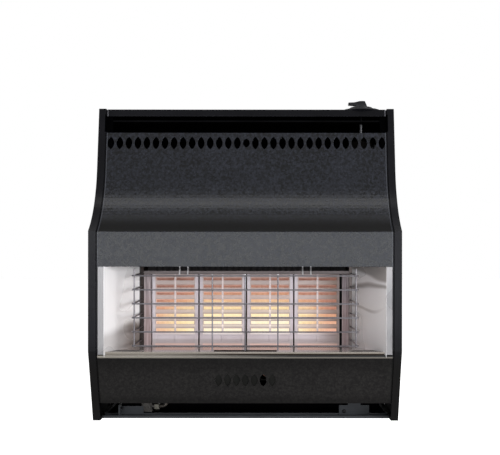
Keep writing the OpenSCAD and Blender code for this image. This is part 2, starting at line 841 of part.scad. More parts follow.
exchanger_half = firebox_half - exchanger_set;
exchanger_top = hood_top - exchanger_drop;
flue_z = firebox_top + flue_rise;
exchanger_line = [[radiant_y, firebox_top], [radiant_y - 20, firebox_top + 27],
    [radiant_y + 5, exchanger_top - 27], [radiant_y + 23, exchanger_top],
    [firebox_back, exchanger_top], [firebox_back, firebox_top]];

module heat_exchanger() {
    color([0.3, 0.3, 0.31]) in_place() {
        difference() {
            section(-exchanger_half, exchanger_half) fold(exchanger_line, -box_t);
            translate([0, firebox_back + 1, flue_z])
                rotate([90, 0, 0]) linear_extrude(box_t + 2) flue_outline(-box_t);
        }
        for (side = [-1, 1])
            translate([side * (exchanger_half - box_t / 2), 0, 0])
                section(-box_t / 2, box_t / 2) polygon(exchanger_line);
        difference() {
            block([-firebox_half, firebox_y, firebox_top],
                [firebox_half, firebox_back, firebox_top + box_t]);
            block([-exchanger_half + 6, radiant_y + 3, firebox_top - 1],
                [exchanger_half - 6, fireback_y, firebox_top + 2]);
        }
    }
}

// Sends the hot gases up the front of the exchanger and down its back to the spigot
module flue_baffle() {
    w = exchanger_half - box_t - seat;
    foot = firebox_top + box_t;
    wall_y = firebox_back - baffle_set;
    color([0.35, 0.35, 0.36]) in_place() section(-w, w)
        fold([[firebox_back - box_t - seat, foot], [wall_y, foot],
            [wall_y, exchanger_top - baffle_gap]], -box_t);
}

module flue_spigot() {
    color([0.45, 0.45, 0.46]) in_place() translate([0, 0, flue_z]) difference() {
        union() {
            block([-flue_w / 2 - 12, firebox_back, -flue_h / 2 - 12],
                [flue_w / 2 + 12, firebox_back + box_t, flue_h / 2 + 12]);
            translate([0, flue_reach, 0]) rotate([90, 0, 0])
                linear_extrude(flue_reach - firebox_back) flue_outline(0);
        }
        translate([0, flue_reach + 1, 0]) rotate([90, 0, 0])
            linear_extrude(flue_reach - firebox_back + 2) flue_outline(-box_t);
    }
}

// Four channels that hold the firebox and the exchanger off the back panel
module stand_off_brackets() {
    w = 24;
    h = 40;
    lip = 12;
    foot = -2 * sheet_t;
    x = exchanger_half - h;
    color([0.4, 0.4, 0.41]) in_place()
        for (side = [-1, 1], z = [firebox_z + h, exchanger_top - 2 * h])
            translate([side * x, 0, z]) linear_extrude(h)
                fold([[-w / 2 - lip, foot], [-w / 2, foot], [-w / 2, firebox_back],
                    [w / 2, firebox_back], [w / 2, foot], [w / 2 + lip, foot]], sheet_t);
}

// --- Burner, injector and pilot ------------------------------------------------------------------

burner_z = shelf_z - burner_drop;
burner_l = 2 * (inner_half - 20);        // length of the burner box
burner_front = chamber_y - burner_w / 2;
mixer_end = firebox_half + 26;
bell_r = mixer_r + 4;
injector_x = mixer_end + 9;              // outer face of the injector's bracket

module along_x(x, h) {
    translate([x, chamber_y, burner_z]) rotate([0, 90, 0]) children();
}

module burner() {
    x0 = -burner_l / 2;
    x1 = burner_l / 2 - 14;
    port_pitch = (x1 - x0 - 20) / (burner_ports - 1);
    color([0.5, 0.48, 0.45]) in_place() difference() {
        union() {
            block([x0, burner_front, burner_z - burner_h / 2],
                [x1, burner_front + burner_w, burner_z + burner_h / 2]);
            block([seat - inner_half, burner_front + 3, burner_z - burner_h / 2],
                [x0 + 1, burner_front + burner_w - 3, burner_z - burner_h / 2 + 2]);
            along_x(x1 - 1) cylinder(h = mixer_end - x1 - 9, r = mixer_r);
            along_x(mixer_end - 10) cylinder(h = 10, r1 = mixer_r, r2 = bell_r);
        }
        along_x(x1 - 30) cylinder(h = mixer_end - x1 + 21, r = mixer_r - 1.5);
        along_x(mixer_end - 10) cylinder(h = 10.1, r1 = mixer_r - 1.5, r2 = bell_r - 1.5);
        for (i = [0:burner_ports - 1], side = [-1, 1])
            translate([x0 + 10 + i * port_pitch, chamber_y + side * burner_w / 5,
                burner_z + burner_h / 2 - 2])
                cube([2, 5, 6], center = true);
    }
}

injector_hex = 8;                        // radius over the corners of the injector's hexagon
injector_end = injector_x + 8;

module injector() {
    color("goldenrod") in_place() difference() {
        union() {
            along_x(mixer_end - 5) cylinder(h = injector_x - mixer_end + 6, r = 3.5);
            along_x(injector_x) cylinder(h = 8, r = injector_hex, $fn = 6);
        }
        along_x(mixer_end - 6) cylinder(h = 12, r = 0.9);
    }
}

module injector_bracket() {
    plate_x = injector_x - sheet_t;
    arm_y = chamber_y + bell_r + 4;
    z0 = burner_z - 10;
    z1 = burner_z + 10;
    color([0.4, 0.4, 0.4]) in_place() difference() {
        translate([0, 0, z0]) linear_extrude(z1 - z0)
            fold([[firebox_half, arm_y + 20], [firebox_half, arm_y], [plate_x, arm_y],
                [plate_x, chamber_y - 9]], sheet_t);
        along_x(plate_x - 2) cylinder(h = 6, r = 3.5 + seat);
    }
}

pilot_y = burner_front - 10;
pilot_plate_z = burner_z - burner_h / 2 - 4;
thermo_pos = [pilot_x + 12, pilot_y + 5];
spark_pos = [pilot_x - 12, pilot_y];
collar_h = 1.8;
thermo_r = 1.2;                          // radius of the thermocouple's lead

module pilot_bracket() {
    color([0.5, 0.5, 0.5]) in_place() difference() {
        section(pilot_x - 20, pilot_x + 20)
            fold([[burner_front, burner_z], [burner_front, pilot_plate_z],
                [burner_front - 18, pilot_plate_z]], -sheet_t);
        translate([pilot_x, pilot_y, pilot_plate_z - 1]) cylinder(h = 5, r = 4 + seat);
        translate([thermo_pos[0], thermo_pos[1], pilot_plate_z - 1]) cylinder(h = 5, r = 2.4 + seat);
        translate([spark_pos[0], spark_pos[1], pilot_plate_z - 1]) cylinder(h = 5, r = 3 + seat);
    }
}

module pilot_collar(r) {
    translate([0, 0, pilot_plate_z + sheet_t]) cylinder(h = collar_h, r = r);
}

module pilot_burner() {
    low = pilot_plate_z - 6;
    color("goldenrod") in_place() translate([pilot_x, pilot_y, 0]) difference() {
        union() {
            translate([0, 0, low]) cylinder(h = 32, r = 4);
            translate([0, 0, low + 31]) cylinder(h = 5, r = 5.4);
            pilot_collar(6);
        }
        translate([0, 0, low + 34]) cube([12, 2, 4], center = true);
    }
}

module thermocouple() {
    low = pilot_plate_z - 4;
    drop_x = tap_x + 13;
    color([0.7, 0.45, 0.3]) in_place() {
        translate([thermo_pos[0], thermo_pos[1], 0]) {
            translate([0, 0, low]) cylinder(h = 34, r = 2.4);
            pilot_collar(3.8);
        }
        sweep(bent([
            [thermo_port[0], thermo_port[1], tap_bottom - seat],
            [thermo_port[0], thermo_port[1], tap_bottom - 25],
            [drop_x, thermo_pos[1], tap_bottom - 55], [drop_x, thermo_pos[1], pilot_plate_z - 18],
            [thermo_pos[0], thermo_pos[1], pilot_plate_z - 18],
            [thermo_pos[0], thermo_pos[1], low + 1]], 8), thermo_r, 8);
    }
}

module electrode() {
    low = pilot_plate_z - 4;
    color("white") in_place() translate([spark_pos[0], spark_pos[1], 0]) {
        translate([0, 0, low]) cylinder(h = 26, r = 3);
        translate([0, 0, low + 25]) cylinder(h = 9, r = 0.8);
        pilot_collar(4.6);
    }
}

// --- Gas tap, spindle and knob ---------------------------------------------------------------------

tap_top = hood_top - 14;                 // top of the tap's block, below the hood's top edge
tap_bottom = tap_top - 45;
bonnet_h = 8;
bonnet_top = tap_top + bonnet_h;
tap_half = [20, 17];
tap_x = half_w - tap_inset;
supply_port = [tap_x + 12, 10 - tap_y];
burner_port = [tap_x - 10, 10 - tap_y];
pilot_port = [tap_x - 10, -8 - tap_y];
thermo_port = [tap_x + 8, -8 - tap_y];
plug_top = tap_top - push_travel - 0.8;
drive_top = plug_top + push_travel + seat;   // where the spindle's square end begins
drive = 5;                               // side of the spindle's square end
spring_h = 8;
top_surface = casing_h - top_set;
bezel_floor = 1.5;                       // thickness of the bezel under the knob's skirt
skirt_z = top_surface + bezel_floor + push_travel + 0.6;
skirt_h = 4.7;
knob_top = casing_h + knob_h;

module at_tap(z = 0) {
    translate([tap_x, -tap_y, z]) children();
}

module tap_bracket() {
    h = 25;
    arm = 16;
    foot = 26;
    y1 = tap_half[1] - tap_y;
    color([0.4, 0.4, 0.41]) in_place() translate([0, 0, tap_bottom + 10]) linear_extrude(h)
        fold([[tap_x + arm, y1 + sheet_t], [tap_x - arm, y1 + sheet_t], [tap_x - arm, -2 * sheet_t],
            [tap_x - arm + foot, -2 * sheet_t]], sheet_t);
}

module tap_body() {
    color("darkgoldenrod") in_place() at_tap() difference() {
        union() {
            block([-tap_half[0], -tap_half[1], tap_bottom], [tap_half[0], tap_half[1], tap_top]);
            translate([0, 0, tap_top - 1]) cylinder(h = bonnet_h + 1, r = plug_r + 5);
        }
        translate([0, 0, tap_bottom + 6]) cylinder(h = tap_top - tap_bottom - 6, r = plug_r + plug_clear);
        translate([0, 0, tap_top - 1]) cylinder(h = bonnet_h + 2, r = spindle_r + seat);
    }
}

module tap_plug() {
    z0 = tap_bottom + 6 + seat;
    color("peru") in_place() at_tap() difference() {
        translate([0, 0, z0]) cylinder(h = plug_top - z0, r = plug_r);
        translate([0, 0, plug_top - 10]) cube([drive + 0.2, drive + 0.2, 22], center = true);
        translate([0, 0, z0 + 9]) rotate([0, 90, 0]) cylinder(h = 30, r = 2.5, center = true, $fn = 24);
    }
}

module tap_spindle() {
    collar_z = bonnet_top + spring_h;
    color("silver") in_place() at_tap() {
        translate([0, 0, drive_top - 7]) cube([drive, drive, 14], center = true);
        translate([0, 0, drive_top - 0.1]) cylinder(h = knob_top - 6 - drive_top, r = spindle_r);
        translate([0, 0, collar_z]) cylinder(h = 2, r = spindle_r + 3.5);
    }
}

module return_spring() {
    wire = 0.5;
    turns = 4;
    steps = 14;
    coil_r = spindle_r + 2;
    rise = spring_h - 2 * wire - 2 * seat / 3;
    color("gray") in_place() at_tap(bonnet_top + wire + seat / 3)
        sweep([for (i = [0:turns * steps])
            [coil_r * cos(360 * i / steps), coil_r * sin(360 * i / steps), rise * i / (turns * steps)]],
            wire, 6);
}

module control_knob() {
    lever_t = 13;
    neck = 11.5;
    skirt_top = skirt_z + skirt_h;
    color([0.06, 0.06, 0.06]) in_place() at_tap() difference() {
        union() {
            translate([0, 0, skirt_z]) cylinder(h = skirt_h - 1, r = knob_r, $fn = 72);
            translate([0, 0, skirt_top - 1]) cylinder(h = 1, r1 = knob_r, r2 = knob_r - 1, $fn = 72);
            translate([0, lever_t / 2, 0]) rotate([90, 0, 0]) linear_extrude(lever_t) polygon([
                [-neck, skirt_top - 1], [neck + 2, skirt_top - 1], [7.5, knob_top], [-3, knob_top],
                [-neck - 2, knob_top - 2.8], [-lever_l, knob_top - 3.4],
                [-lever_l, knob_top - 9], [-neck, knob_top - 10.2]]);
        }
        translate([0, 0, skirt_z - 1])
            cylinder(h = knob_top - 6 + seat - skirt_z + 1, r = spindle_r + 0.05);
    }
}

// A low boss with a well that the knob's skirt is pushed into
module knob_bezel() {
    edge_h = bezel_t - 1.8;
    half_depth = -lean_y(top_surface, panel_set) - tap_y - seat;
    color([0.08, 0.08, 0.09]) in_place() at_tap(top_surface) difference() {
        intersection() {
            union() {
                cylinder(h = edge_h, r = bezel_w / 2, $fn = 72);
                translate([0, 0, edge_h])
                    cylinder(h = bezel_t - edge_h, r1 = bezel_w / 2 - 1, r2 = knob_r + 3, $fn = 72);
            }
            block([-bezel_w, -half_depth, -1], [bezel_w, half_depth, bezel_t + 1]);
        }
        translate([0, 0, -1]) cylinder(h = bezel_floor + 2, r = spindle_r + 4);
        translate([0, 0, bezel_floor]) cylinder(h = bezel_t, r = knob_r + 0.6, $fn = 72);
    }
}

// The spark unit clipped to the side of the tap
igniter_x = tap_x + tap_half[0] + 9;
igniter_z = tap_bottom - 5;

module igniter() {
    color([0.15, 0.15, 0.15]) in_place() {
        block([tap_x + tap_half[0], -tap_y - 7, tap_bottom + 5],
            [igniter_x - 5, 7 - tap_y, tap_bottom + 35]);
        translate([igniter_x, -tap_y, igniter_z]) cylinder(h = 45, r = 7);
    }
}

// --- Inlet and pipes -------------------------------------------------------------------------------

elbow_half = 10;
boss_y = foot_y + sheet_t + seat;        // front face of the elbow's boss
isolator_depth = 10;
outlet_x = elbow_half + 5;
inlet_mouth = inlet_y + elbow_half + inlet_l + 3;
supply_x = tap_x + 17;
supply_y = -50;

module inlet_elbow() {
    color("goldenrod") in_place() translate([-inlet_x, 0, inlet_z]) difference() {
        union() {
            block([-elbow_half, inlet_y - elbow_half, -elbow_half],
                [elbow_half, inlet_y + elbow_half, elbow_half]);
            translate([0, inlet_y, 0]) rotate([90, 0, 0])
                cylinder(h = inlet_y - boss_y, r = elbow_half - 1, $fn = 6);
            translate([0, inlet_mouth, 0]) rotate([90, 0, 0])
                cylinder(h = inlet_mouth - inlet_y, r = inlet_r + 4);
            translate([0, inlet_y, 0]) rotate([0, 90, 0]) cylinder(h = outlet_x, r = 6);
        }
        translate([0, boss_y + isolator_depth, 0]) rotate([90, 0, 0])
            cylinder(h = isolator_depth + 1, r = isolator_r + 0.05);
        translate([0, inlet_mouth + 1, 0]) rotate([90, 0, 0]) cylinder(h = inlet_l + 1, r = inlet_r);
    }
}

module isolating_screw() {
    face = boss_y + 0.5;
    color("gold") in_place() translate([-inlet_x, face, inlet_z]) difference() {
        rotate([-90, 0, 0]) cylinder(h = isolator_depth - 0.8, r = isolator_r);
        cube([2 * isolator_r + 2, 3, 1.4], center = true);
    }
}

module supply_pipe() {
    start = outlet_x - inlet_x + seat;
    rise_x = start + 24;
    color([0.72, 0.45, 0.3]) in_place() sweep(bent([
        [start, inlet_y, inlet_z], [rise_x, inlet_y, inlet_z], [rise_x, inlet_y, crossing_z],
        [supply_x, inlet_y, crossing_z], [supply_x, supply_y, crossing_z + 24],
        [supply_x, supply_y, tap_bottom - 50],
        [supply_port[0], supply_port[1], tap_bottom - 25],
        [supply_port[0], supply_port[1], tap_bottom - seat]], 10), pipe_r, 12);
}

module burner_pipe() {
    bend_x = injector_end + 18;
    color([0.72, 0.45, 0.3]) in_place() sweep(bent([
        [burner_port[0], burner_port[1], tap_bottom - seat],
        [burner_port[0], burner_port[1], burner_z + 54],
        [bend_x, chamber_y + 14, burner_z + 34], [bend_x, chamber_y, burner_z],
        [injector_end + seat, chamber_y, burner_z]], 8), pipe_r, 12);
}

module pilot_pipe() {
    drop_x = tap_x + 5;
    run_z = pilot_plate_z - 22;
    color([0.72, 0.45, 0.3]) in_place() sweep(bent([
        [pilot_port[0], pilot_port[1], tap_bottom - seat], [pilot_port[0], pilot_port[1], tap_bottom - 35],
        [drop_x, pilot_y + 1, tap_bottom - 65], [drop_x, pilot_y + 1, run_z],
        [pilot_x, pilot_y, run_z], [pilot_x, pilot_y, pilot_plate_z - 6 - seat]], 5), pilot_pipe_r, 10);
}

module ignition_lead() {
    drop_x = tap_x + 24;
    run_z = pilot_plate_z - 30;
    color([0.8, 0.2, 0.1]) in_place() sweep(bent([
        [igniter_x, -tap_y, igniter_z - seat], [igniter_x, -tap_y, igniter_z - 15],
        [drop_x, spark_pos[1], igniter_z - 50], [drop_x, spark_pos[1], run_z],
        [spark_pos[0], spark_pos[1], run_z],
        [spark_pos[0], spark_pos[1], pilot_plate_z - 4 - seat]], 8), 2, 8);
}

// A hexagonal compression nut with its pipe hole, standing on the origin
module pipe_nut(hole_r, h) {
    difference() {
        cylinder(h = h, r = hole_r + 5, $fn = 6);
        translate([0, 0, -1]) cylinder(h = h + 2, r = hole_r + 0.15, $fn = 32);
    }
}

module pipe_nuts() {
    nut_h = 9;
    color("goldenrod") in_place() {
        for (port = [supply_port, burner_port])
            translate([port[0], port[1], tap_bottom - nut_h]) pipe_nut(pipe_r, nut_h);
        translate([pilot_port[0], pilot_port[1], tap_bottom - 7]) pipe_nut(pilot_pipe_r, 7);
        translate([thermo_port[0], thermo_port[1], tap_bottom - 7]) pipe_nut(thermo_r, 7);
        translate([outlet_x - inlet_x, inlet_y, inlet_z]) rotate([0, 90, 0]) pipe_nut(pipe_r, nut_h);
        along_x(injector_end) pipe_nut(pipe_r, nut_h);
        translate([pilot_x, pilot_y, pilot_plate_z - 6 - 6]) pipe_nut(pilot_pipe_r, 6);
    }
}

// --- Screws ----------------------------------------------------------------------------------------

// A pan-head screw along +Z, its head's underside at the origin
module pan_screw(shank, head_r = 4) {
    difference() {
        union() {
            translate([0, 0, -shank]) cylinder(h = shank + 1, r = screw_r, $fn = 24);
            intersection() {
                cylinder(h = 2.2, r = head_r, $fn = 32);
                translate([0, 0, 2.2 - 5]) sphere(5, $fn = 48);
            }
        }
        translate([0, 0, 2.4]) cube([2 * head_r + 2, 1, 1.6], center = true);
    }
}

module foot_screws() {
    post_x = -inlet_x - inlet_plate[0] - inlet_plate[1] - inlet_post;
    color("silver") in_place() {
        translate([foot_x + foot_hole[0], foot_y, sheet_t + foot_hole[1]])
            rotate([90, 0, 0]) pan_screw(6);
        translate([post_x, foot_y - inlet_screw_set, inlet_z]) rotate([0, -90, 0]) pan_screw(8, 3.4);
    }
}

module casing_screws() {
    color([0.15, 0.15, 0.15]) in_place()
        for (side = [0, 1], z = screw_heights)
            mirror([side, 0, 0]) translate([half_w, -side_flange / 2, z])
                rotate([0, 90, 0]) pan_screw(8);
}

back_panel();
left_cheek();
right_cheek();
top_panel();
outlet_deflector();
hood();
lower_panel();
slot_shutter();
base_rail();
base_plate();
inlet_bracket();
foot_bracket();
floor_nosing();
reflector_floor();
reflector_left();
reflector_right();
radiant_rail();
radiant_shelf();
radiant_1();
radiant_2();
radiant_3();
radiant_4();
side_bricks();
fire_back();
firebox();
heat_exchanger();
flue_baffle();
flue_spigot();
stand_off_brackets();
burner();
injector();
injector_bracket();
pilot_bracket();
pilot_burner();
thermocouple();
electrode();
dress_guard();
tap_bracket();
tap_body();
tap_plug();
tap_spindle();
return_spring();
control_knob();
knob_bezel();
igniter();
inlet_elbow();
isolating_screw();
supply_pipe();
burner_pipe();
pilot_pipe();
ignition_lead();
pipe_nuts();
foot_screws();
casing_screws();
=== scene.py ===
"""Wall mounted radiant gas fire: finishes, small fittings, light and camera for the frame."""
import json
import math
from functools import reduce

import bmesh
import bpy
from mathutils import Matrix, Vector


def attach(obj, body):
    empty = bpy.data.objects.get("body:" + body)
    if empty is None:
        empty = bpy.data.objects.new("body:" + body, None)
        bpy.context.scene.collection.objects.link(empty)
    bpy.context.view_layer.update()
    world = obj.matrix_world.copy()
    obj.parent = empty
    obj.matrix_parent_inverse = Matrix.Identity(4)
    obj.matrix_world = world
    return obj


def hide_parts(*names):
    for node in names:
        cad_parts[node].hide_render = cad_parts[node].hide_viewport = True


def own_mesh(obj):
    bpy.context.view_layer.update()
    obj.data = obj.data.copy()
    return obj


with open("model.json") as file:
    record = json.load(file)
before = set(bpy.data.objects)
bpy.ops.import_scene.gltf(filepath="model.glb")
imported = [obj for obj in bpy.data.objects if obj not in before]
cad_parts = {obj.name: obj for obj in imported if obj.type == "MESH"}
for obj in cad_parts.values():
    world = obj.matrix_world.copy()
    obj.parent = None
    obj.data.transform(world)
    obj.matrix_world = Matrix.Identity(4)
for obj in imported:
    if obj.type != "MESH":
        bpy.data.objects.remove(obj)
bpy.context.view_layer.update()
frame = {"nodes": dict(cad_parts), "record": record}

# Places and sizes, in metres in the shared frame
MM = 0.001
BASE_Z = -0.320                     # height of the casing's base below the wall fixings' centre
RADIANT_Z = (-0.1814, -0.0386)      # foot and top of the ceramic radiants
RADIANT_FACE = -0.1182              # depth of the radiants' front faces
RADIANT_PITCH = 0.095               # distance between the middles of two radiants
COLUMN = (0.0070, 0.0085)           # half width of the plain clay between columns, with its edge
TOP_ROW = -0.0486                   # height of the middle of the radiants' highest slots
ROW_PITCH = 0.0146                  # distance between two rows of slots
LAST_SEAM = 0.1864                  # where the seam beside the last radiant starts
FLOOR_TOP = -0.18305                # face of the level mirror
WINDOW_TOP = -0.022                 # lower edge of the hood
SHEET_END = (0.2762, 0.2772)        # cut ends of the hood and the top panel, from the middle
CHEEK_Z = (-0.3195, 0.2924)         # foot and head of the cheeks' hollow backs
CHEEK_SKIN = 0.2942                 # inner face of the cheeks' skin, from the middle
CHEEK_RIMS = (0.2778, 0.2825)       # cheeks' rims behind the hood's slots and beside the outlet
CHEEK_FOLD = -0.112                 # depth behind which the cheeks' inside has painted shade
OUTLET_Z = (0.246, 0.2815)          # foot and head of the warm air outlet
SLOTS_FOOT = 0.190                  # height under the hood's row of slots
OPENING_TOP = -0.284                # lower edge of the lower panel, over the base opening
WIRE = 0.0014                       # radius of the guard's wire
BEND = 0.0045                       # radius of its bends
GUARD_Y = -0.216                    # depth of the guard's front run
GUARD_HALF = 0.21388                # half length of the front run
GUARD_LEVEL = 0.040                 # length over which the returns run straight back
GUARD_END = (0.208, -0.1239)        # where the returned ends stop
GUARD_ROWS = [BASE_Z + 0.148 + 0.0265 * row for row in range(6)]
UPRIGHTS_X = (-0.062, 0.0, 0.062)   # the three uprights of the front run
HOOKS_X = (-0.1165, 0.1165)         # middles of the two hooks
HOOK_HALF = 0.0077                  # half width of a hook
HOOK_Y = -0.2083                    # depth of the hooks behind the hood's lip
HOOK_BEND = 0.003                   # radius of the hooks' bends
TAP = (0.233, -0.085)               # axis of the gas tap
SKIRT = [(0.00305, 0.2976), (0.0236, 0.2976), (0.0240, 0.2980), (0.0240, 0.2996),
         (0.0228, 0.3007), (0.0120, 0.3012), (0.00305, 0.3014)]       # radius and height
GRIP = [(-0.0115, 0.3005), (0.0135, 0.3005), (0.0075, 0.3144), (-0.0030, 0.3144),
        (-0.0135, 0.3118), (-0.0262, 0.3112), (-0.0262, 0.3062), (-0.0120, 0.3048)]  # X, height
GRIP_WIDTH = 0.013                  # thickness of the lever that has this outline
BOSS = [(0.0075, 0.2920), (0.0396, 0.2920), (0.0400, 0.2926), (0.0398, 0.2942),
        (0.0385, 0.2951), (0.0280, 0.2960), (0.0254, 0.2959), (0.0247, 0.2952),
        (0.0246, 0.2935), (0.0075, 0.2935)]                           # radius and height
SPRING_Z = (0.2381, 0.2459)         # foot and head of the tap's spring
SPRING = (0.005, 0.0005, 4)         # radius of its coil and of its wire, number of turns
SEAL_OUTER = 0.2932                 # outer edge of the foam strips behind the cheeks
SEALS = ((0.2808, -0.3197, -0.2900), (0.2690, 0.2908, 0.2918))        # inner edge, foot, head


def srgb(red, green, blue):
    """A colour given as 0 to 255 on screen, as linear RGBA."""
    def linear(value):
        value /= 255
        return value / 12.92 if value <= 0.04045 else ((value + 0.055) / 1.055) ** 2.4
    return (linear(red), linear(green), linear(blue), 1.0)


BLACK = (0, 0, 0, 1)
DUST_GREY = srgb(120, 116, 110)
# painted shade in the seam beside the last radiant
SEAM_SHADE = srgb(14, 12, 11)
ENAMEL = srgb(16, 16, 19)
GLOW = [(0.0, srgb(92, 54, 44)), (0.15, srgb(138, 96, 84)), (0.30, srgb(178, 122, 102)),
        (0.45, srgb(213, 158, 122)), (0.60, srgb(228, 194, 150)), (0.75, srgb(243, 217, 164)),
        (0.90, srgb(253, 235, 186)), (1.0, srgb(255, 243, 214))]


# --- Shader trees -------------------------------------------------------------------------

class Tree:
    """Places nodes in a shader tree. An input takes a number, a colour or a node's socket."""

    def __init__(self, tree):
        self.tree = tree
        self.count = 0

    def give(self, socket, value):
        """Links another node's socket to this one, or sets it to a number or a colour."""
        if isinstance(value, bpy.types.NodeSocket):
            self.tree.links.new(value, socket)
        else:
            socket.default_value = value

    def node(self, kind, inputs=None, **settings):
        made = self.tree.nodes.new("ShaderNode" + kind)
        made.location = (200 * (self.count % 12), -300 * (self.count // 12))
        self.count += 1
        for name, value in settings.items():
            setattr(made, name, value)
        for name, value in (inputs or {}).items():
            self.give(made.inputs[name], value)
        return made

    def math(self, operation, first, second=0.0, clamp=False):
        made = self.node("Math", {0: first, 1: second}, operation=operation, use_clamp=clamp)
        return made.outputs[0]

    def plus(self, first, second, clamp=False):
        return self.math("ADD", first, second, clamp)

    def minus(self, first, second):
        return self.math("SUBTRACT", first, second)

    def times(self, *values):
        return reduce(lambda first, second: self.math("MULTIPLY", first, second), values)

    def highest(self, *values):
        return reduce(lambda first, second: self.math("MAXIMUM", first, second), values)

    def aside(self, value):
        """Distance from 0, on either side."""
        return self.math("ABSOLUTE", value)

    def above(self, value, level):
        return self.math("GREATER_THAN", value, level)

    def below(self, value, level):
        return self.math("LESS_THAN", value, level)

    def within(self, value, low, high):
        """1 between two values, 0 outside."""
        return self.times(self.above(value, low), self.below(value, high))

    def fade(self, value, start, end, low=0.0, high=1.0):
        """Goes smoothly from low to high as value goes from start to end."""
        made = self.node("MapRange", {"Value": value, "From Min": start, "From Max": end,
                                      "To Min": low, "To Max": high},
                         interpolation_type="SMOOTHSTEP")
        return made.outputs["Result"]

    def radiant_joint(self, x):
        """Distance from the nearest joint or middle line of the radiants."""
        return self.math("PINGPONG", x, RADIANT_PITCH / 2)

    def split(self, vector):
        """The three parts of a vector."""
        return self.node("SeparateXYZ", {"Vector": vector}).outputs[:]

    def noise(self, vector, scale, detail, roughness=0.5):
        made = self.node("TexNoise", {"Vector": vector, "Scale": scale, "Detail": detail,
                                      "Roughness": roughness})
        return made.outputs["Fac"]

    def mix(self, factor, first, second):
        made = self.node("Mix", data_type="RGBA")
        for index, value in ((0, factor), (6, first), (7, second)):
            self.give(made.inputs[index], value)
        return made.outputs[2]

    def ramp(self, value, stops):
        made = self.node("ValToRGB", {"Fac": value})
        elements = made.color_ramp.elements
        while len(elements) < len(stops):
            elements.new(0.5)
        for element, (place, colour) in zip(elements, stops):
            element.position = place
            element.color = colour
        return made.outputs["Color"]


def group(name, inputs, outputs, build):
    """A shader node group. build(tree, inputs) gives the sockets for the outputs, in order."""
    made = bpy.data.node_groups.new(name, "ShaderNodeTree")
    for label, kind, value in inputs:
        socket = made.interface.new_socket(name=label, in_out="INPUT",
                                           socket_type="NodeSocket" + kind)
        if value is not None:
            socket.default_value = value
    for label in outputs:
        made.interface.new_socket(name=label, in_out="OUTPUT", socket_type="NodeSocketFloat")
    tree = Tree(made)
    entry = made.nodes.new("NodeGroupInput")
    leave = made.nodes.new("NodeGroupOutput")
    for socket, result in zip(leave.inputs, build(tree, entry.outputs)):
        made.links.new(result, socket)
    return made


def build_hammer(tree, given):
    """Round flats and ridges of a hammered stove paint."""
    place, scale = given["Vector"], given["Scale"]
    swirl = tree.node("TexNoise", {"Vector": place, "Scale": scale, "Detail": 2.0})
    push = tree.node("VectorMath", {0: swirl.outputs["Color"], 1: (0.004, 0.004, 0.004)},
                     operation="MULTIPLY").outputs[0]
    moved = tree.node("VectorMath", {0: place, 1: push}, operation="ADD").outputs[0]
    cells = tree.node("TexVoronoi", {"Vector": moved, "Scale": scale, "Smoothness": 0.6},
                      feature="SMOOTH_F1").outputs["Distance"]
    tone = tree.noise(place, tree.times(scale, 0.5), 4.0, 0.7)
    return [tree.times(cells, given["Depth"]), tone]


def build_skin(tree, given):
    """The slight ripple and cloudiness of a sprayed or moulded skin."""
    ripple = tree.noise(given["Vector"], given["Scale"], 3.0)
    return [tree.times(ripple, given["Depth"]), tree.noise(given["Vector"], 9.0, 4.0, 0.6)]


def build_grain(tree, given):
    """Rolling lines of bare sheet metal, drawn along one direction by the stretch."""
    drawn = tree.node("VectorMath", {0: given["Vector"], 1: given["Stretch"]},
                      operation="MULTIPLY").outputs[0]
    lines = tree.noise(drawn, given["Scale"], 3.0)
    buckle = tree.noise(given["Vector"], 14.0, 1.5)
    height = tree.plus(tree.times(lines, given["Depth"]), tree.times(buckle, given["Buckle"]))
    return [height, lines]


def build_dust(tree, given):
    """Dust that settles on faces that look up, broken by noise."""
    up = tree.split(tree.node("NewGeometry").outputs["Normal"])[2]
    cloud = tree.noise(given["Vector"], 60.0, 6.0, 0.65)
    return [tree.times(tree.fade(up, 0.5, 1.0), tree.fade(cloud, 0.35, 0.75), given["Amount"])]


def build_heat(tree, given):
    """How hot a point of the radiants is, where it glows, and where glow spills on a louvre."""
    x, y, z = tree.split(given["Vector"])
    low, top = RADIANT_Z
    rise = tree.fade(z, low + 0.034, top - 0.004, 1.0, 0.12)
    middle = tree.times(tree.fade(tree.aside(tree.plus(x, -0.002)), 0.085, 0.190, 1.0, 0.58),
                        tree.fade(x, 0.08, 0.17, 1.0, 0.78))
    flicker = tree.times(tree.plus(tree.noise(given["Vector"], 24.0, 2.0), -0.5), 0.24)
    heat = tree.plus(tree.times(rise, middle), flicker, clamp=True)
    inside = tree.fade(y, RADIANT_FACE + 0.0002, RADIANT_FACE + 0.0030)
    foot = tree.fade(z, low + 0.020, low + 0.024)
    head = tree.fade(z, top - 0.006, top - 0.002, 1.0, 0.0)
    joint = tree.radiant_joint(x)
    glows = tree.times(foot, head, tree.fade(joint, 0.0030, 0.0045))
    rows_down = tree.math("DIVIDE", tree.minus(TOP_ROW - 0.003, z), ROW_PITCH)
    spill = tree.fade(tree.math("FRACT", rows_down), 0.0, 0.55, 1.0, 0.0)
    face = tree.times(tree.minus(1.0, inside), spill, tree.fade(joint, *COLUMN))
    return [heat, tree.times(inside, glows), tree.times(face, glows)]


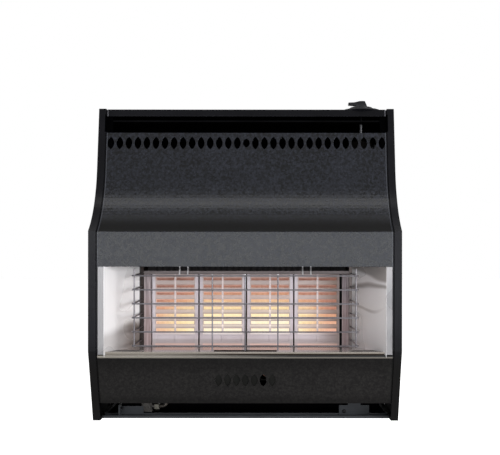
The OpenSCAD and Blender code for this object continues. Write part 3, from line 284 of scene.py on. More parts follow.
VECTOR_IN = ("Vector", "Vector", None)
HAMMER = group("Hammer texture", [VECTOR_IN, ("Scale", "Float", 260.0), ("Depth", "Float", 1.0)],
               ["Height", "Tone"], build_hammer)
SKIN = group("Skin ripple", [VECTOR_IN, ("Scale", "Float", 700.0), ("Depth", "Float", 1.0)],
             ["Height", "Cloud"], build_skin)
GRAIN = group("Sheet grain", [VECTOR_IN, ("Stretch", "Vector", (1.0, 1.0, 1.0)),
                              ("Scale", "Float", 400.0), ("Depth", "Float", 1.0),
                              ("Buckle", "Float", 1.0)],
              ["Height", "Lines"], build_grain)
DUST = group("Settled dust", [VECTOR_IN, ("Amount", "Float", 0.3)], ["Mask"], build_dust)
HEAT = group("Radiant heat", [VECTOR_IN], ["Heat", "Inside", "Spill"], build_heat)


class Finish(Tree):
    """A material with a Principled shader, rounded edges and Object coordinates."""

    def __init__(self, name, edge=0.4 * MM, **constants):
        self.material = bpy.data.materials.new(name)
        self.material.use_nodes = True
        super().__init__(self.material.node_tree)
        self.shader = self.tree.nodes["Principled BSDF"]
        self.coords = self.node("TexCoord").outputs["Object"]
        self.rounded = self.node("Bevel", {"Radius": edge}, samples=4).outputs["Normal"]
        self.tree.links.new(self.rounded, self.shader.inputs["Normal"])
        for label, value in constants.items():
            self.shader.inputs[label.replace("_", " ")].default_value = value

    def place(self):
        """X, Y and Z of the shaded point."""
        return self.split(self.coords)

    def worn_edge(self, strength):
        """The given strength on sharp edges, 0 on flat faces."""
        plain = self.node("NewGeometry").outputs["Normal"]
        turned = self.node("VectorMath", {0: self.rounded, 1: plain}, operation="DOT_PRODUCT")
        return self.times(self.fade(self.minus(1.0, turned.outputs["Value"]), 0.01, 0.16),
                          strength)

    def mottled(self, tone, low, high):
        """Goes from low to high over the middle of a noise's range."""
        return self.fade(tone, 0.3, 0.7, low, high)

    def effect(self, which, **inputs):
        made = self.node("Group", node_tree=which)
        self.tree.links.new(self.coords, made.inputs["Vector"])
        for label, value in inputs.items():
            made.inputs[label].default_value = value
        return made.outputs

    def set(self, **sockets):
        for label, value in sockets.items():
            self.tree.links.new(value, self.shader.inputs[label.replace("_", " ")])

    def bump(self, height, distance, strength=1.0):
        made = self.node("Bump", {"Height": height, "Distance": distance, "Strength": strength,
                                  "Normal": self.rounded})
        self.set(Normal=made.outputs["Normal"])


# --- Finishes -------------------------------------------------------------------------------

def tint(colour, by):
    """The same colour, lighter or darker."""
    return tuple(by * channel for channel in colour[:3]) + (1.0,)


def stove_enamel(name, colour, dusty=0.03, gloss=0.1, rough=0.36, painted_shading=None):
    """Sprayed satin enamel on sheet steel, rubbed at its edges.

    The given function may paint light and shade into the colour. It gives the new colour and where
    painted shade lies, as black.
    """
    finish = Finish(name, Specular_IOR_Level=gloss)
    skin = finish.effect(SKIN, Scale=900.0)
    cloud = finish.fade(skin["Cloud"], 0.35, 0.65)
    base = finish.mix(cloud, tint(colour, 0.78), tint(colour, 1.15))
    base = finish.mix(finish.worn_edge(0.6), base, tint(colour, 2.2))
    base = finish.mix(finish.effect(DUST, Amount=dusty)["Mask"], base, DUST_GREY)
    roughness = finish.mottled(skin["Cloud"], rough - 0.04, rough + 0.06)
    if painted_shading:
        base, painted_shade = painted_shading(finish, base)
        # painted shade: black and matt where the given function asks for it
        if painted_shade is not None:
            base = finish.mix(painted_shade, base, srgb(4, 4, 5))
            roughness = finish.highest(roughness, painted_shade)
            finish.set(Metallic=painted_shade)       # painted shade is a black metal, which sends no light back at all
    finish.set(Base_Color=base, Roughness=roughness)
    finish.bump(skin["Height"], 0.03 * MM)
    return finish.material


def cheek_light_and_shade(finish, base):
    """Cheeks: painted shade, black, inside them; painted shade toward the foot, and a painted
    lighter band at half their height.
    """
    x, y, z = finish.place()
    out = finish.aside(x)
    facing = finish.split(finish.node("NewGeometry").outputs["Normal"])[0]
    foot, head = OUTLET_Z
    inward = finish.below(finish.times(facing, x), -0.15)
    ends = finish.plus(finish.above(z, foot), finish.below(z, OPENING_TOP))
    hollow = finish.times(finish.within(z, *CHEEK_Z), finish.below(out, CHEEK_SKIN),
                          finish.above(y, CHEEK_FOLD))
    behind = finish.times(finish.within(z, SLOTS_FOOT, head), finish.below(out, CHEEK_RIMS[0]))
    beside = finish.times(finish.within(z, foot, head), finish.below(out, CHEEK_RIMS[1]))
    # painted shade, black: inward faces at the ends, behind the rims, beside the outlet and in the
    # hollow backs
    painted_shade = finish.highest(finish.times(inward, ends), behind, beside, hollow)
    shaded = finish.mix(finish.fade(z, -0.16, -0.22), base, tint((0.0105, 0.0095, 0.0095), 0.28))
    lit = finish.times(finish.fade(z, -0.20, -0.12), finish.fade(z, 0.10, 0.04), 0.3)
    return finish.mix(lit, shaded, srgb(30, 30, 34)), painted_shade


def back_shade(finish, base):
    """Painted shade: the back panel's inside is black."""
    return base, finish.below(finish.place()[1], -0.0006)


def top_end_highlight(finish, base):
    """Painted highlights on the top panel's cut ends."""
    end = finish.fade(finish.aside(finish.place()[0]), *SHEET_END, 0.0, 0.75)
    return finish.mix(end, base, srgb(96, 96, 100)), None


def hammered_paint(name, dark, light, depth, gloss, rough, painted_shading):
    """Hammered stove paint: small dark flats between lighter ridges, mottled blue and grey.

    The given function paints light and shade into the colour. It gives the new colour and where
    the paint is matt.
    """
    finish = Finish(name, Specular_IOR_Level=gloss)
    hammer = finish.effect(HAMMER, Scale=330.0)
    skin = finish.effect(SKIN, Scale=1400.0)
    flats = finish.mix(finish.fade(hammer["Tone"], 0.38, 0.62), dark, light)
    cold = finish.mix(finish.fade(skin["Cloud"], 0.40, 0.66, 0.0, 0.25), flats, tint(light, 1.1))
    base = finish.mix(finish.fade(hammer["Height"], 0.25, 0.85, 0.0, 0.55), cold, tint(dark, 0.6))
    base = finish.mix(finish.worn_edge(0.5), base, tint(light, 1.8))
    base, matt = painted_shading(finish, base)
    roughness = finish.mottled(hammer["Tone"], rough - 0.06, rough + 0.08)
    if matt is not None:
        roughness = finish.highest(roughness, matt)
    finish.set(Base_Color=base, Roughness=roughness)
    finish.bump(hammer["Height"], depth)
    return finish.material


def hood_light_and_shade(finish, base):
    """The hood's foot is matt, with painted shade just over its front band; its side edges get a
    painted highlight.
    """
    x, y, z = finish.place()
    ledge = finish.times(finish.fade(z, 0.090, 0.054), finish.fade(y, -0.2215, -0.2190))
    base = finish.mix(finish.times(ledge, 0.9), base, srgb(8, 7, 6))
    edge = finish.fade(finish.aside(x), *SHEET_END, 0.0, 0.6)
    return finish.mix(edge, base, srgb(70, 72, 78)), finish.times(ledge, 0.95)


def panel_shade(finish, base):
    """Painted shade on the lower panel, under the bead and toward its foot."""
    height = finish.place()[2]
    lit = finish.times(finish.fade(height, -0.196, -0.236),
                       finish.fade(height, OPENING_TOP, -0.262))
    return finish.mix(finish.times(finish.minus(1.0, lit), 0.5), base, srgb(6, 5, 5)), None


def rolled_sheet(name, lines_along, draw=0.02, scale=900.0, depth=0.0006, buckle=0.9, **constants):
    """Starts a finish of bare rolled sheet: fine lines along one axis, and a slight buckle."""
    finish = Finish(name, **constants)
    stretch = tuple(draw if axis == lines_along else 1.0 for axis in "XYZ")
    grain = finish.effect(GRAIN, Stretch=stretch, Scale=scale, Depth=depth, Buckle=buckle)
    finish.bump(grain["Height"], 1.0 * MM, 0.5)
    return finish, grain["Lines"]


def sheet_metal(name, colour, lines_along, roughness, depth=0.02):
    """Plated or heat tinted sheet."""
    finish, lines = rolled_sheet(name, lines_along, depth=depth, buckle=0.4, Metallic=1.0)
    base = finish.mix(lines, tint(colour, 0.86), colour)
    finish.set(Base_Color=finish.mix(finish.worn_edge(0.5), base, tint(colour, 1.15)))
    finish.set(Roughness=finish.mottled(lines, roughness, roughness + 0.12))
    return finish.material


def reflection_band(finish, height, level, width):
    """A thin band of painted reflection round a level, fading to 0 on both sides."""
    return finish.fade(finish.aside(finish.minus(height, level)), 0.0, width, 0.7, 0.0)


def reflector_steel(name, colour, reflected_tone):
    """Bright reflectors with painted reflections in brown bands, greyed front flanges, and painted
    shade along the left one's rear edge.
    """
    finish, lines = rolled_sheet(name, "Z", Metallic=0.3)
    x, y, z = finish.place()
    drift = finish.noise(finish.coords, 9.0, 1.0)
    height = finish.plus(z, finish.times(finish.plus(drift, -0.5), 0.05))
    right = finish.fade(x, 0.15, 0.2)
    # On the right, painted reflections: two arched dark lines, a dark head and a wash that grows
    # toward the foot
    across = finish.math("DIVIDE", finish.minus(x, 0.211), 0.055)
    crown = finish.math("POWER", finish.minus(across, 0.6), 2.0)
    upper = reflection_band(finish, finish.plus(height, finish.times(crown, 0.030)), -0.054, 0.008)
    lower = reflection_band(finish, finish.minus(height, finish.times(crown, 0.006)), -0.099, 0.008)
    trail = finish.times(lower, finish.fade(across, 0.5, 1.0, 0.75, 0.25))
    slope = finish.plus(height, finish.times(across, 0.018))
    head = finish.fade(slope, -0.036, -0.026, 0.0, 0.72)
    wash = finish.fade(height, -0.20, -0.08, 0.33, 0.14)
    painted_reflection = finish.times(right, finish.highest(head, upper, trail, wash))
    # On the left, a painted dark reflection at the foot that is stronger toward the radiants
    inner = finish.fade(x, -0.262, -0.219)
    level = finish.plus(height, finish.times(inner, -0.012))
    deep = finish.plus(finish.times(inner, 0.55), 0.4)
    foot = finish.times(finish.minus(1.0, right), finish.fade(level, -0.132, -0.154), deep)
    base = finish.mix(lines, tint(colour, 0.98), colour)
    base = finish.mix(finish.highest(painted_reflection, foot), base, reflected_tone)
    greyed = finish.ramp(drift, [(0.35, srgb(80, 79, 81)), (0.6, srgb(128, 126, 127))])
    base = finish.mix(finish.fade(finish.aside(x), 0.2660, 0.2664), base, greyed)
    # painted shade along the left reflector's rear edge
    rear = finish.times(finish.fade(x, -0.2132, -0.2126, 0.0, 0.9), finish.minus(1.0, right))
    finish.set(Base_Color=finish.mix(rear, base, srgb(22, 18, 18)))
    finish.set(Roughness=finish.mottled(drift, 0.24, 0.32))
    return finish.material


def mirror_floor(name, colour):
    """The level mirror under the radiants, with painted reflections of the radiants' slots and a
    dark matt strip behind its front edge.
    """
    finish, lines = rolled_sheet(name, "X", buckle=0.25, Specular_IOR_Level=0.0)
    x, depth, z = finish.place()
    out = finish.aside(x)
    beside = finish.fade(out, 0.190, 0.205, 0.0, 0.8)
    slit = finish.times(finish.highest(finish.fade(out, 0.0590, 0.0620, 1.0, 0.0), beside),
                        finish.within(depth, -0.2135, -0.184))
    column = finish.times(finish.fade(finish.radiant_joint(x), *COLUMN), finish.minus(1.0, beside))
    # painted reflections of the radiants' rows of slots, in the columns
    stripes = finish.highest(reflection_band(finish, depth, -0.129, 0.012),
                             reflection_band(finish, depth, -0.176, 0.016))
    base = finish.mix(lines, tint(colour, 0.97), colour)
    base = finish.mix(finish.times(column, stripes), base, srgb(230, 184, 160))
    # the front lip is darker toward the right
    toward_right = finish.times(finish.fade(z, -0.1856, -0.1866), finish.fade(x, -0.20, 0.0, 0.35, 1.0))
    lip = finish.mix(toward_right, srgb(134, 128, 120), srgb(44, 38, 34))
    base = finish.mix(finish.fade(depth, -0.2172, -0.2168, 1.0, 0.0), base, lip)
    finish.set(Base_Color=finish.mix(finish.times(slit, 0.97), base, srgb(34, 31, 30)))
    finish.set(Metallic=finish.times(finish.minus(1.0, slit), 0.8))
    finish.set(Roughness=finish.highest(slit, 0.1))
    return finish.material


def rolled_bead(name, colour, reflected_tone):
    """The bright bead under the window: a painted dark reflection on its front, stronger toward
    the right.
    """
    finish, lines = rolled_sheet(name, "X", depth=0.01, buckle=0.05, Metallic=0.55)
    x, y, z = finish.place()
    painted_reflection = finish.times(finish.fade(z, -0.1930, -0.1918, 0.30, 1.0),
                           finish.fade(x, -0.22, 0.12, 0.12, 1.0))
    base = finish.mix(painted_reflection, colour, reflected_tone)
    finish.set(Base_Color=finish.mix(finish.fade(lines, 0.3, 0.5, 0.15, 0.0), base, reflected_tone))
    finish.set(Roughness=finish.mottled(lines, 0.26, 0.36))
    return finish.material


def streaked_brick(name):
    """The side bricks: lilac clay with upright streaks, and painted shade, black, in the seam by
    the last radiant.
    """
    finish, lines = rolled_sheet(name, "Z", draw=0.03, scale=420.0, depth=0.05, buckle=0.2,
                                 edge=0.8 * MM, Roughness=0.9, Specular_IOR_Level=0.2)
    x, y, z = finish.place()
    streaks = finish.ramp(lines, [(0.36, srgb(112, 98, 100)), (0.5, srgb(146, 134, 137)),
                                  (0.64, srgb(176, 163, 163))])
    warm = finish.mix(finish.fade(z, -0.075, -0.105, 0.0, 0.35), streaks, srgb(190, 164, 160))
    finish.set(Base_Color=finish.mix(finish.within(x, 0.0, 0.1917), warm, SEAM_SHADE))
    return finish.material


def hot_flange(name):
    """The firebox: dark on the left, greyer and pinker on the right flange."""
    finish, lines = rolled_sheet(name, "Z", depth=0.02, buckle=0.4, Metallic=1.0)
    x, y, z = finish.place()
    base = finish.mix(lines, srgb(52, 46, 45), srgb(62, 56, 54))
    right = finish.times(finish.fade(x, 0.195, 0.200), finish.below(y, -0.118))
    finish.set(Base_Color=finish.mix(right, base, srgb(108, 100, 98)))
    finish.set(Roughness=finish.mottled(lines, 0.55, 0.67))
    return finish.material


def turned_metal(name, colour, roughness, tarnish, painted_shading=None, ripple=0.02 * MM):
    """Machined or drawn brass, copper, chrome and plated steel, with a cloudy tarnish."""
    finish = Finish(name, edge=0.3 * MM, Metallic=1.0)
    skin = finish.effect(SKIN, Scale=1500.0)
    base = finish.mix(finish.fade(skin["Cloud"], 0.42, 0.72), colour, tarnish)
    # the given function may paint a highlight or a shadow into the colour
    finish.set(Base_Color=painted_shading(finish, base) if painted_shading else base)
    finish.set(Roughness=finish.mottled(skin["Cloud"], roughness, roughness + 0.2))
    finish.bump(skin["Height"], ripple)
    return finish.material


def rod_shadow(finish, base):
    """Painted shadow: the tap's rod is black above the outlet."""
    return finish.mix(finish.fade(finish.place()[2], 0.2655, 0.2670), base, srgb(8, 8, 9))


def guard_highlights(finish, base):
    """Painted highlights on the guard's wire: on the hooks and on the returned ends at the right.
    """
    x, y, z = finish.place()
    hooks = finish.times(finish.fade(z, -0.0385, -0.0370, 0.0, 0.8),
                         finish.below(finish.aside(x), 0.15))
    ends = finish.times(finish.fade(x, 0.2040, 0.2060, 0.0, 0.8),
                        finish.within(y, -0.2110, -0.1400))
    return finish.mix(finish.highest(hooks, ends), base, srgb(206, 204, 206))


def fired_ceramic(name, colour, stain):
    """Starts a finish of porous fired clay. Gives it with its scorched colour."""
    finish = Finish(name, edge=0.8 * MM, Roughness=0.9, Specular_IOR_Level=0.2)
    skin = finish.effect(SKIN, Scale=500.0)
    finish.bump(skin["Height"], 0.2 * MM)
    return finish, finish.mix(finish.fade(skin["Cloud"], 0.4, 0.75), colour, stain)


def glow_colour(finish, heat):
    """Colour of the hot clay: pinker where the outer radiants' lower rows run cooler."""
    x, y, z = finish.place()
    outer = finish.fade(finish.aside(finish.plus(x, 0.02)), 0.10, 0.20)
    pink = finish.times(outer, finish.fade(z, -0.11, -0.16), 0.6)
    return finish.mix(pink, finish.ramp(heat["Heat"], GLOW), srgb(236, 172, 156))


def let_glow(finish, colour):
    """Shows a glow in full where it is looked at, and less of it in the light that it sheds."""
    path = finish.node("LightPath").outputs
    shed = finish.times(finish.highest(path["Is Glossy Ray"], path["Is Diffuse Ray"]), 0.72)
    finish.set(Emission_Color=finish.mix(shed, colour, BLACK))
    finish.shader.inputs["Emission Strength"].default_value = 1.0


def radiant_ceramic(name):
    """The radiants' clay, which glows inside its slots, with painted light spilt from them on the
    louvres under them.
    """
    finish, clay = fired_ceramic(name, srgb(200, 191, 196), srgb(182, 167, 170))
    heat = finish.effect(HEAT)
    hot = glow_colour(finish, heat)
    warm = finish.mix(finish.times(heat["Spill"], heat["Heat"], 0.34), BLACK, hot)
    let_glow(finish, finish.mix(heat["Inside"], warm, hot))
    x, y, z = finish.place()
    joint = finish.radiant_joint(x)
    column = finish.fade(joint, *COLUMN)
    rows = finish.fade(z, RADIANT_Z[0] + 0.024, RADIANT_Z[0] + 0.030)
    mirrored = finish.times(finish.fade(z, -0.1764, -0.1776),
                            finish.plus(finish.times(column, 0.55), 0.25))
    bar = finish.times(rows, finish.above(joint, 0.0458), 0.9)
    # plain columns, painted shade toward the right end, greyer and pinker bands at the foot, pale
    # bars, and painted shade in the seam by the last radiant
    for mask, colour in ((finish.times(column, rows, 0.8), srgb(176, 158, 150)),
                         (finish.fade(x, 0.125, 0.185, 0.0, 0.7), srgb(124, 104, 92)),
                         (finish.fade(z, -0.166, -0.170, 0.0, 0.55), srgb(156, 144, 142)),
                         (mirrored, srgb(220, 182, 168)),
                         (bar, srgb(214, 200, 200)),
                         (finish.above(x, LAST_SEAM), SEAM_SHADE)):
        clay = finish.mix(mask, clay, colour)
    finish.set(Base_Color=clay)
    return finish.material


def glowing_back(name):
    """The fluted slab behind the radiants: it glows through the slots and is darker above them."""
    finish, clay = fired_ceramic(name, srgb(120, 112, 106), srgb(96, 88, 82))
    heat = finish.effect(HEAT)
    let_glow(finish, finish.mix(heat["Inside"], BLACK, glow_colour(finish, heat)))
    darker_above = finish.fade(finish.place()[2], RADIANT_Z[1] - 0.004, RADIANT_Z[1] + 0.002)
    finish.set(Base_Color=finish.mix(darker_above, clay, srgb(46, 44, 45)))
    return finish.material


def moulded_plastic(name, colour, roughness):
    """Fine spark-eroded texture of a moulding."""
    finish = Finish(name, edge=0.6 * MM, Specular_IOR_Level=0.16)
    skin = finish.effect(SKIN, Scale=2200.0)
    base = finish.mix(finish.worn_edge(0.4), colour, tint(colour, 2.5))
    dust = finish.effect(DUST, Amount=0.02)["Mask"]
    finish.set(Base_Color=finish.mix(dust, base, srgb(150, 146, 140)))
    finish.set(Roughness=finish.mottled(skin["Cloud"], roughness, roughness + 0.1))
    finish.bump(skin["Height"], 0.04 * MM)
    return finish.material


SATIN = {"gloss": 0.07, "rough": 0.24}                      # the casing's black enamel
# matt black enamel for parts painted black as shade
SHADE_MATT = {"dusty": 0.0, "gloss": 0.0, "rough": 0.8}

# One finish for each of the record's material slots that a piece shows
FINISHES = {
    "galvanised": sheet_metal("Galvanised sheet", srgb(150, 152, 155), "Z", 0.42, depth=0.03),
    "black_enamel": stove_enamel("Black enamel", ENAMEL, **SATIN),
    "hammered_grey": hammered_paint("Hammered grey", srgb(9, 10, 12), srgb(32, 34, 41),
                                    0.09 * MM, 0.2, 0.2, hood_light_and_shade),
    "hammered_black": hammered_paint("Hammered black", srgb(22, 21, 21), srgb(34, 33, 32),
                                     0.10 * MM, 0.06, 0.34, panel_shade),
    "grey_enamel": stove_enamel("Grey enamel", srgb(48, 50, 53)),
    "bright_trim": rolled_bead("Bead with painted reflection", srgb(120, 115, 107), srgb(8, 7, 6)),
    "mirror_steel": reflector_steel("Reflector steel", srgb(240, 239, 240), srgb(112, 102, 96)),
    "radiant_ceramic": radiant_ceramic("Radiant clay"),
    "heat_steel": sheet_metal("Heat tinted steel", srgb(60, 54, 52), "X", 0.55),
    "aluminised": sheet_metal("Aluminised steel", srgb(160, 160, 162), "X", 0.45),
    "brass": turned_metal("Aged brass", srgb(92, 76, 50), 0.45, srgb(56, 46, 32)),
    "oxidised_brass": turned_metal("Oxidised brass", srgb(70, 68, 66), 0.5, srgb(44, 42, 40)),
    "copper": turned_metal("Darkened copper", srgb(96, 68, 56), 0.4, srgb(58, 42, 36)),
    "glazed_white": stove_enamel("White glaze", srgb(200, 198, 190), dusty=0.0, gloss=0.5,
                                 rough=0.2),
    "chrome_wire": turned_metal("Chromed wire", srgb(104, 102, 106), 0.32, srgb(76, 71, 73),
                                guard_highlights),
    "plated_steel": turned_metal("Plated steel", srgb(112, 112, 112), 0.36, srgb(80, 78, 76)),
    "black_plastic": moulded_plastic("Black plastic", srgb(14, 14, 16), 0.36),
    "silicone_sleeve": moulded_plastic("Silicone sleeve", srgb(24, 22, 22), 0.5),
}
CHEEK_ENAMEL = stove_enamel("Cheek enamel", ENAMEL, painted_shading=cheek_light_and_shade, **SATIN)

# Nodes that look different from the rest of their slot
OWN_FINISH = {
    "left_cheek": CHEEK_ENAMEL,
    "right_cheek": CHEEK_ENAMEL,
    "fire_back": glowing_back("Glowing fire back"),
    "reflector_floor": mirror_floor("Floor reflector", srgb(206, 200, 198)),
    "radiant_rail": sheet_metal("Greyed rail", srgb(102, 95, 95), "X", 0.5),
    # painted shade: the tray, the outlet's deflector and the shutter behind the hood's slots are
    # black
    "base_plate": stove_enamel("Tray black as painted shade", srgb(10, 10, 12), dusty=0.0, gloss=0.0, rough=0.85),
    "outlet_deflector": stove_enamel("Deflector black as painted shade", srgb(10, 10, 11), **SHADE_MATT),
    "slot_shutter": stove_enamel("Shutter black as painted shade", srgb(30, 30, 29), **SHADE_MATT),
    "back_panel": stove_enamel("Back enamel", ENAMEL, painted_shading=back_shade, **SATIN),
    "top_panel": stove_enamel("Top enamel", srgb(13, 13, 16), painted_shading=top_end_highlight, **SATIN),
    "side_bricks": streaked_brick("Side brick clay"),
    "firebox": hot_flange("Scorched firebox"),
    # painted shade: the tap's body is black where it shows through the hood's slots
    "tap_body": turned_metal("Brass black as painted shade", srgb(12, 11, 10), 0.7, srgb(8, 7, 7)),
    "tap_spindle": turned_metal("Tap rod", srgb(70, 70, 72), 0.4, srgb(50, 49, 48), rod_shadow,
                                ripple=0.0),
    "foot_screws": turned_metal("Blackened screws", srgb(40, 40, 42), 0.5, srgb(28, 28, 29)),
    "pipe_nuts": turned_metal("Greyed nuts", srgb(84, 82, 76), 0.45, srgb(56, 53, 50)),
    # dull steel, darkened further as painted shade in the base's recess
    "supply_pipe": turned_metal("Dull pipe darkened as painted shade", srgb(74, 70, 66), 0.45, srgb(50, 47, 45)),
}
for part in frame["record"]["subparts"]:
    node = part["node"]
    materials = frame["nodes"][node].data.materials
    materials.clear()
    materials.append(OWN_FINISH.get(node) or FINISHES[part["material_slot"]])


# --- Pieces modelled here: guard, knob, boss, spring and back seals ----------------------------

def finished(mesh, name, slot, body, replaced=None):
    """Turns a bmesh into a smooth piece that rides on a body, and may stand for a CAD node."""
    bmesh.ops.recalc_face_normals(mesh, faces=mesh.faces)
    made = bpy.data.meshes.new(name)
    mesh.to_mesh(made)
    mesh.free()
    made.shade_smooth()
    made.set_sharp_from_angle(angle=math.radians(38))
    made.materials.append(FINISHES[slot])
    piece = bpy.data.objects.new(name, made)
    bpy.context.scene.collection.objects.link(piece)
    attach(piece, body)
    if replaced:
        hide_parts(replaced)
    return piece


def only(kind, items):
    """The vertices or the edges of what an operator made."""
    return [item for item in items if isinstance(item, kind)]


def disc(mesh, matrix, radius, segments):
    """A round closed end that a wire is drawn from. Gives its vertices and edges."""
    ring = bmesh.ops.create_circle(mesh, cap_ends=True, segments=segments, radius=radius,
                                   matrix=matrix)["verts"]
    return ring, list({edge for vert in ring for edge in vert.link_edges})


def bent_wire(mesh, path, bend=BEND):
    """Draws a round section along each run of a path and spins it round each corner."""
    points = [Vector(point) for point in path]
    place = points[0]
    turn = Vector((0, 0, 1)).rotation_difference(points[1] - place).to_matrix().to_4x4()
    edges = disc(mesh, Matrix.Translation(place) @ turn, WIRE, 12)[1]
    for index, corner in enumerate(points[1:], 1):
        heading = (corner - points[index - 1]).normalized()
        last = index == len(points) - 1
        after = heading if last else (points[index + 1] - corner).normalized()
        angle = heading.angle(after)
        stop = corner - heading * bend * math.tan(angle / 2)
        grown = bmesh.ops.extrude_edge_only(mesh, edges=edges)["geom"]
        verts = only(bmesh.types.BMVert, grown)
        edges = [edge for edge in only(bmesh.types.BMEdge, grown) if set(edge.verts) <= set(verts)]
        bmesh.ops.translate(mesh, verts=verts, vec=stop - place)
        if last:
            break
        inward = (after - heading * after.dot(heading)).normalized()
        spun = bmesh.ops.spin(mesh, geom=verts + edges, cent=stop + inward * bend,
                              axis=heading.cross(after).normalized(), angle=angle, steps=6,
                              use_duplicate=False)["geom_last"]
        edges = only(bmesh.types.BMEdge, spun)
        place = corner + after * bend * math.tan(angle / 2)
    bmesh.ops.edgeloop_fill(mesh, edges=edges)


def weld(mesh, place):
    """A squashed bead of metal where two wires are spot welded."""
    squash = Matrix.Translation(place) @ Matrix.Diagonal((1.0, 0.8, 1.0, 1.0))
    bmesh.ops.create_icosphere(mesh, subdivisions=2, radius=1.35 * WIRE, matrix=squash)


def there_and_back(half):
    """The points of half a path, then their mirror images in reverse."""
    return half + [(-x, y, z) for x, y, z in reversed(half)]


def dress_guard():
    """Six bent wires welded to five uprights, with two hooks for the hood's lip."""
    mesh = bmesh.new()
    behind = GUARD_Y + 1.85 * WIRE
    lowest, highest = GUARD_ROWS[0], GUARD_ROWS[-1]
    for height in GUARD_ROWS:
        bent_wire(mesh, there_and_back([(-GUARD_END[0], GUARD_END[1], height + 0.003),
                                        (-GUARD_HALF, GUARD_Y + GUARD_LEVEL, height),
                                        (-GUARD_HALF, GUARD_Y, height)]))
    past, tip = 0.003, 0.013            # how far the uprights end past the outer wires
    uprights = [(x, FLOOR_TOP + 0.0017, highest + past) for x in UPRIGHTS_X]
    side = GUARD_HALF - 0.004
    uprights += [(x, lowest - past, highest + tip) for x in (-side, side)]
    for x, low, high in uprights:
        bent_wire(mesh, [(x, behind, low), (x, behind, high)])
        for height in GUARD_ROWS:
            weld(mesh, (x, GUARD_Y + 0.9 * WIRE, height))
    for middle in HOOKS_X:
        hook = there_and_back([(-HOOK_HALF, GUARD_Y + WIRE, highest + WIRE),
                               (-HOOK_HALF, HOOK_Y, WINDOW_TOP - 0.002),
                               (-HOOK_HALF, HOOK_Y, WINDOW_TOP + 0.008)])
        bent_wire(mesh, [(middle + x, y, z) for x, y, z in hook], HOOK_BEND)
        for x, y, z in (hook[0], hook[-1]):
            weld(mesh, (middle + x, y, z - 0.5 * WIRE))
    finished(mesh, "dress_guard_wires", "chrome_wire", "casing", "dress_guard")


def turned(mesh, section):
    """Spins a closed section, given as radius and height, round the tap's axis."""
    verts = [mesh.verts.new((TAP[0] + radius, TAP[1], height)) for radius, height in section]
    edges = [mesh.edges.new((verts[index - 1], verts[index])) for index in range(len(verts))]
    bmesh.ops.spin(mesh, geom=verts + edges, cent=(*TAP, 0), axis=(0, 0, 1), angle=math.tau,
                   steps=64, use_merge=True)
    bmesh.ops.remove_doubles(mesh, verts=mesh.verts, dist=0.01 * MM)


def push_knob():
    """A thin round skirt with a hooked lever grip across it."""
    mesh = bmesh.new()
    turned(mesh, SKIRT)
    near = TAP[1] - GRIP_WIDTH / 2
    side = mesh.faces.new([mesh.verts.new((TAP[0] + x, near, z)) for x, z in GRIP])
    grown = bmesh.ops.extrude_face_region(mesh, geom=[side], use_keep_orig=True)["geom"]
    far = only(bmesh.types.BMVert, grown)
    bmesh.ops.translate(mesh, verts=far, vec=(0, GRIP_WIDTH, 0))
    grip = set(far) | set(side.verts)
    edges = [edge for edge in mesh.edges if set(edge.verts) <= grip]
    bmesh.ops.bevel(mesh, geom=edges, offset=1.4 * MM, segments=3, profile=0.5, affect="EDGES",
                    material=-1)
    finished(mesh, "push_knob", "black_plastic", "control_knob", "control_knob")


def push_spring():
    """The coil spring under the spindle's collar, which a push on the knob shortens in the tap; it
    is modelled at one length.
    """
    mesh = bmesh.new()
    low, high = SPRING_Z
    radius, wire, turns = SPRING
    steps = 24 * turns
    upright = Matrix.Translation((TAP[0] + radius, TAP[1], low + wire)) @ Matrix.Rotation(
        math.radians(90), 4, "X")
    ring, edges = disc(mesh, upright, wire, 10)
    rise = (high - low - 2 * wire) / steps
    spun = bmesh.ops.spin(mesh, geom=ring + edges, cent=(*TAP, 0), axis=(0, 0, 1),
                          angle=math.tau * turns, dvec=(0, 0, rise), steps=steps,
                          use_duplicate=False)["geom_last"]
    bmesh.ops.edgeloop_fill(mesh, edges=only(bmesh.types.BMEdge, spun))
    piece = finished(mesh, "push_spring", "plated_steel", "casing", "return_spring")
    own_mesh(piece)


def knob_boss():
    """The low round boss with the well that the knob's skirt is pushed into."""
    mesh = bmesh.new()
    turned(mesh, BOSS)
    finished(mesh, "knob_boss", "black_plastic", "casing", "knob_bezel")


def back_seals():
    """Foam strips that close the cheeks' open backs against the wall, at foot and head."""
    for side, label in ((-1, "left"), (1, "right")):
        mesh = bmesh.new()
        for inner, low, high in SEALS:
            block = bmesh.ops.create_cube(mesh, size=1.0)["verts"]
            middle = (side * (SEAL_OUTER + inner) / 2, -2.5 * MM, (low + high) / 2)
            bmesh.ops.scale(mesh, vec=(SEAL_OUTER - inner, 3.5 * MM, high - low), verts=block)
            bmesh.ops.translate(mesh, vec=middle, verts=block)
        bmesh.ops.bevel(mesh, geom=mesh.edges[:], offset=0.2 * MM, segments=2, profile=0.5,
                        affect="EDGES", material=-1)
        finished(mesh, label + "_back_seal", "silicone_sleeve", "casing")


dress_guard()
push_knob()
push_spring()
knob_boss()
back_seals()


# --- Stage: floor, lamps, world and camera ----------------------------------------------------

def seen_directly(tree):
    """1 for rays that show the background: from the camera, and off or through the object."""
    path = tree.node("LightPath").outputs
    shown = tree.plus(path["Is Camera Ray"], path["Is Glossy Ray"], clamp=True)
    return tree.plus(shown, path["Is Transmission Ray"], clamp=True)


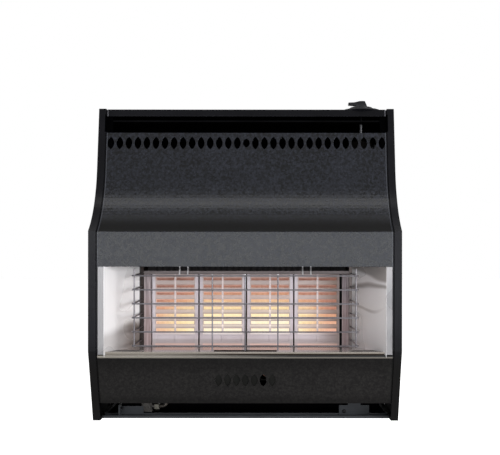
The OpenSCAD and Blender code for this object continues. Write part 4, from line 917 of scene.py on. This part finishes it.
def pale_floor():
    """A wide pale floor under the object, lifted to white where it is looked at."""
    made = bmesh.new()
    bmesh.ops.create_grid(made, x_segments=1, y_segments=1, size=20.0)
    bmesh.ops.translate(made, vec=(0, 0, BASE_Z - 0.25), verts=made.verts)
    mesh = bpy.data.meshes.new("floor")
    made.to_mesh(mesh)
    made.free()
    material = bpy.data.materials.new("Pale floor")
    material.use_nodes = True
    tree = Tree(material.node_tree)
    sockets = material.node_tree.nodes["Principled BSDF"].inputs
    for label, value in (("Base Color", srgb(225, 225, 225)), ("Roughness", 0.9),
                         ("Emission Color", (1, 1, 1, 1)),
                         ("Emission Strength", tree.times(seen_directly(tree), 0.84))):
        tree.give(sockets[label], value)
    mesh.materials.append(material)
    floor = bpy.data.objects.new("floor", mesh)
    bpy.context.scene.collection.objects.link(floor)


def lamp(name, place, target, width, height, power, colour=(1, 1, 1)):
    """A rectangular lamp that shines from a place to a target."""
    light = bpy.data.lights.new(name, "AREA")
    light.color = colour
    light.shape = "RECTANGLE"
    light.size = width
    light.size_y = height
    light.energy = power
    made = bpy.data.objects.new(name, light)
    made.location = place
    made.rotation_euler = (Vector(target) - Vector(place)).to_track_quat("-Z", "Y").to_euler()
    bpy.context.scene.collection.objects.link(made)


def studio():
    """White surroundings, an even front lamp and softer ones round the object."""
    scene = bpy.context.scene
    scene.view_settings.view_transform = "Standard"
    world = bpy.data.worlds.new("Studio")
    world.use_nodes = True
    scene.world = world
    tree = Tree(world.node_tree)
    background = world.node_tree.nodes["Background"].inputs
    background["Color"].default_value = (1, 1, 1, 1)
    tree.give(background["Strength"], tree.plus(tree.times(seen_directly(tree), 0.78), 0.22))
    pale_floor()
    lamp("front", (0, -3.4, 0.05), (0, 0, 0.05), 3.2, 0.6, 38, (0.93, 0.96, 1.0))
    lamp("key", (2.0, -2.0, 0.30), (0, -0.1, -0.05), 1.0, 0.9, 62)
    lamp("over", (0, -0.9, 1.9), (0, -0.15, 0.1), 2.4, 0.40, 11)
    lamp("fill", (-2.2, -1.0, 0.8), (0, 0, 0), 1.2, 1.2, 10)
    lamp("rear", (0.5, 2.6, 1.2), (0, 0, 0), 2.0, 1.2, 26)


def camera():
    """Level camera 1.6 m in front of the fascia, with its lens shifted as in the photograph."""
    lens = bpy.data.cameras.new("camera")
    lens.sensor_width = 36.0
    lens.lens = 61.06
    lens.shift_x = -0.0327
    lens.shift_y = 0.061
    made = bpy.data.objects.new("camera", lens)
    made.location = (0.040, -1.8178, -0.0057)
    made.rotation_euler = (math.radians(90), math.radians(-0.05), 0)
    bpy.context.scene.collection.objects.link(made)
    bpy.context.scene.camera = made


camera()
studio()
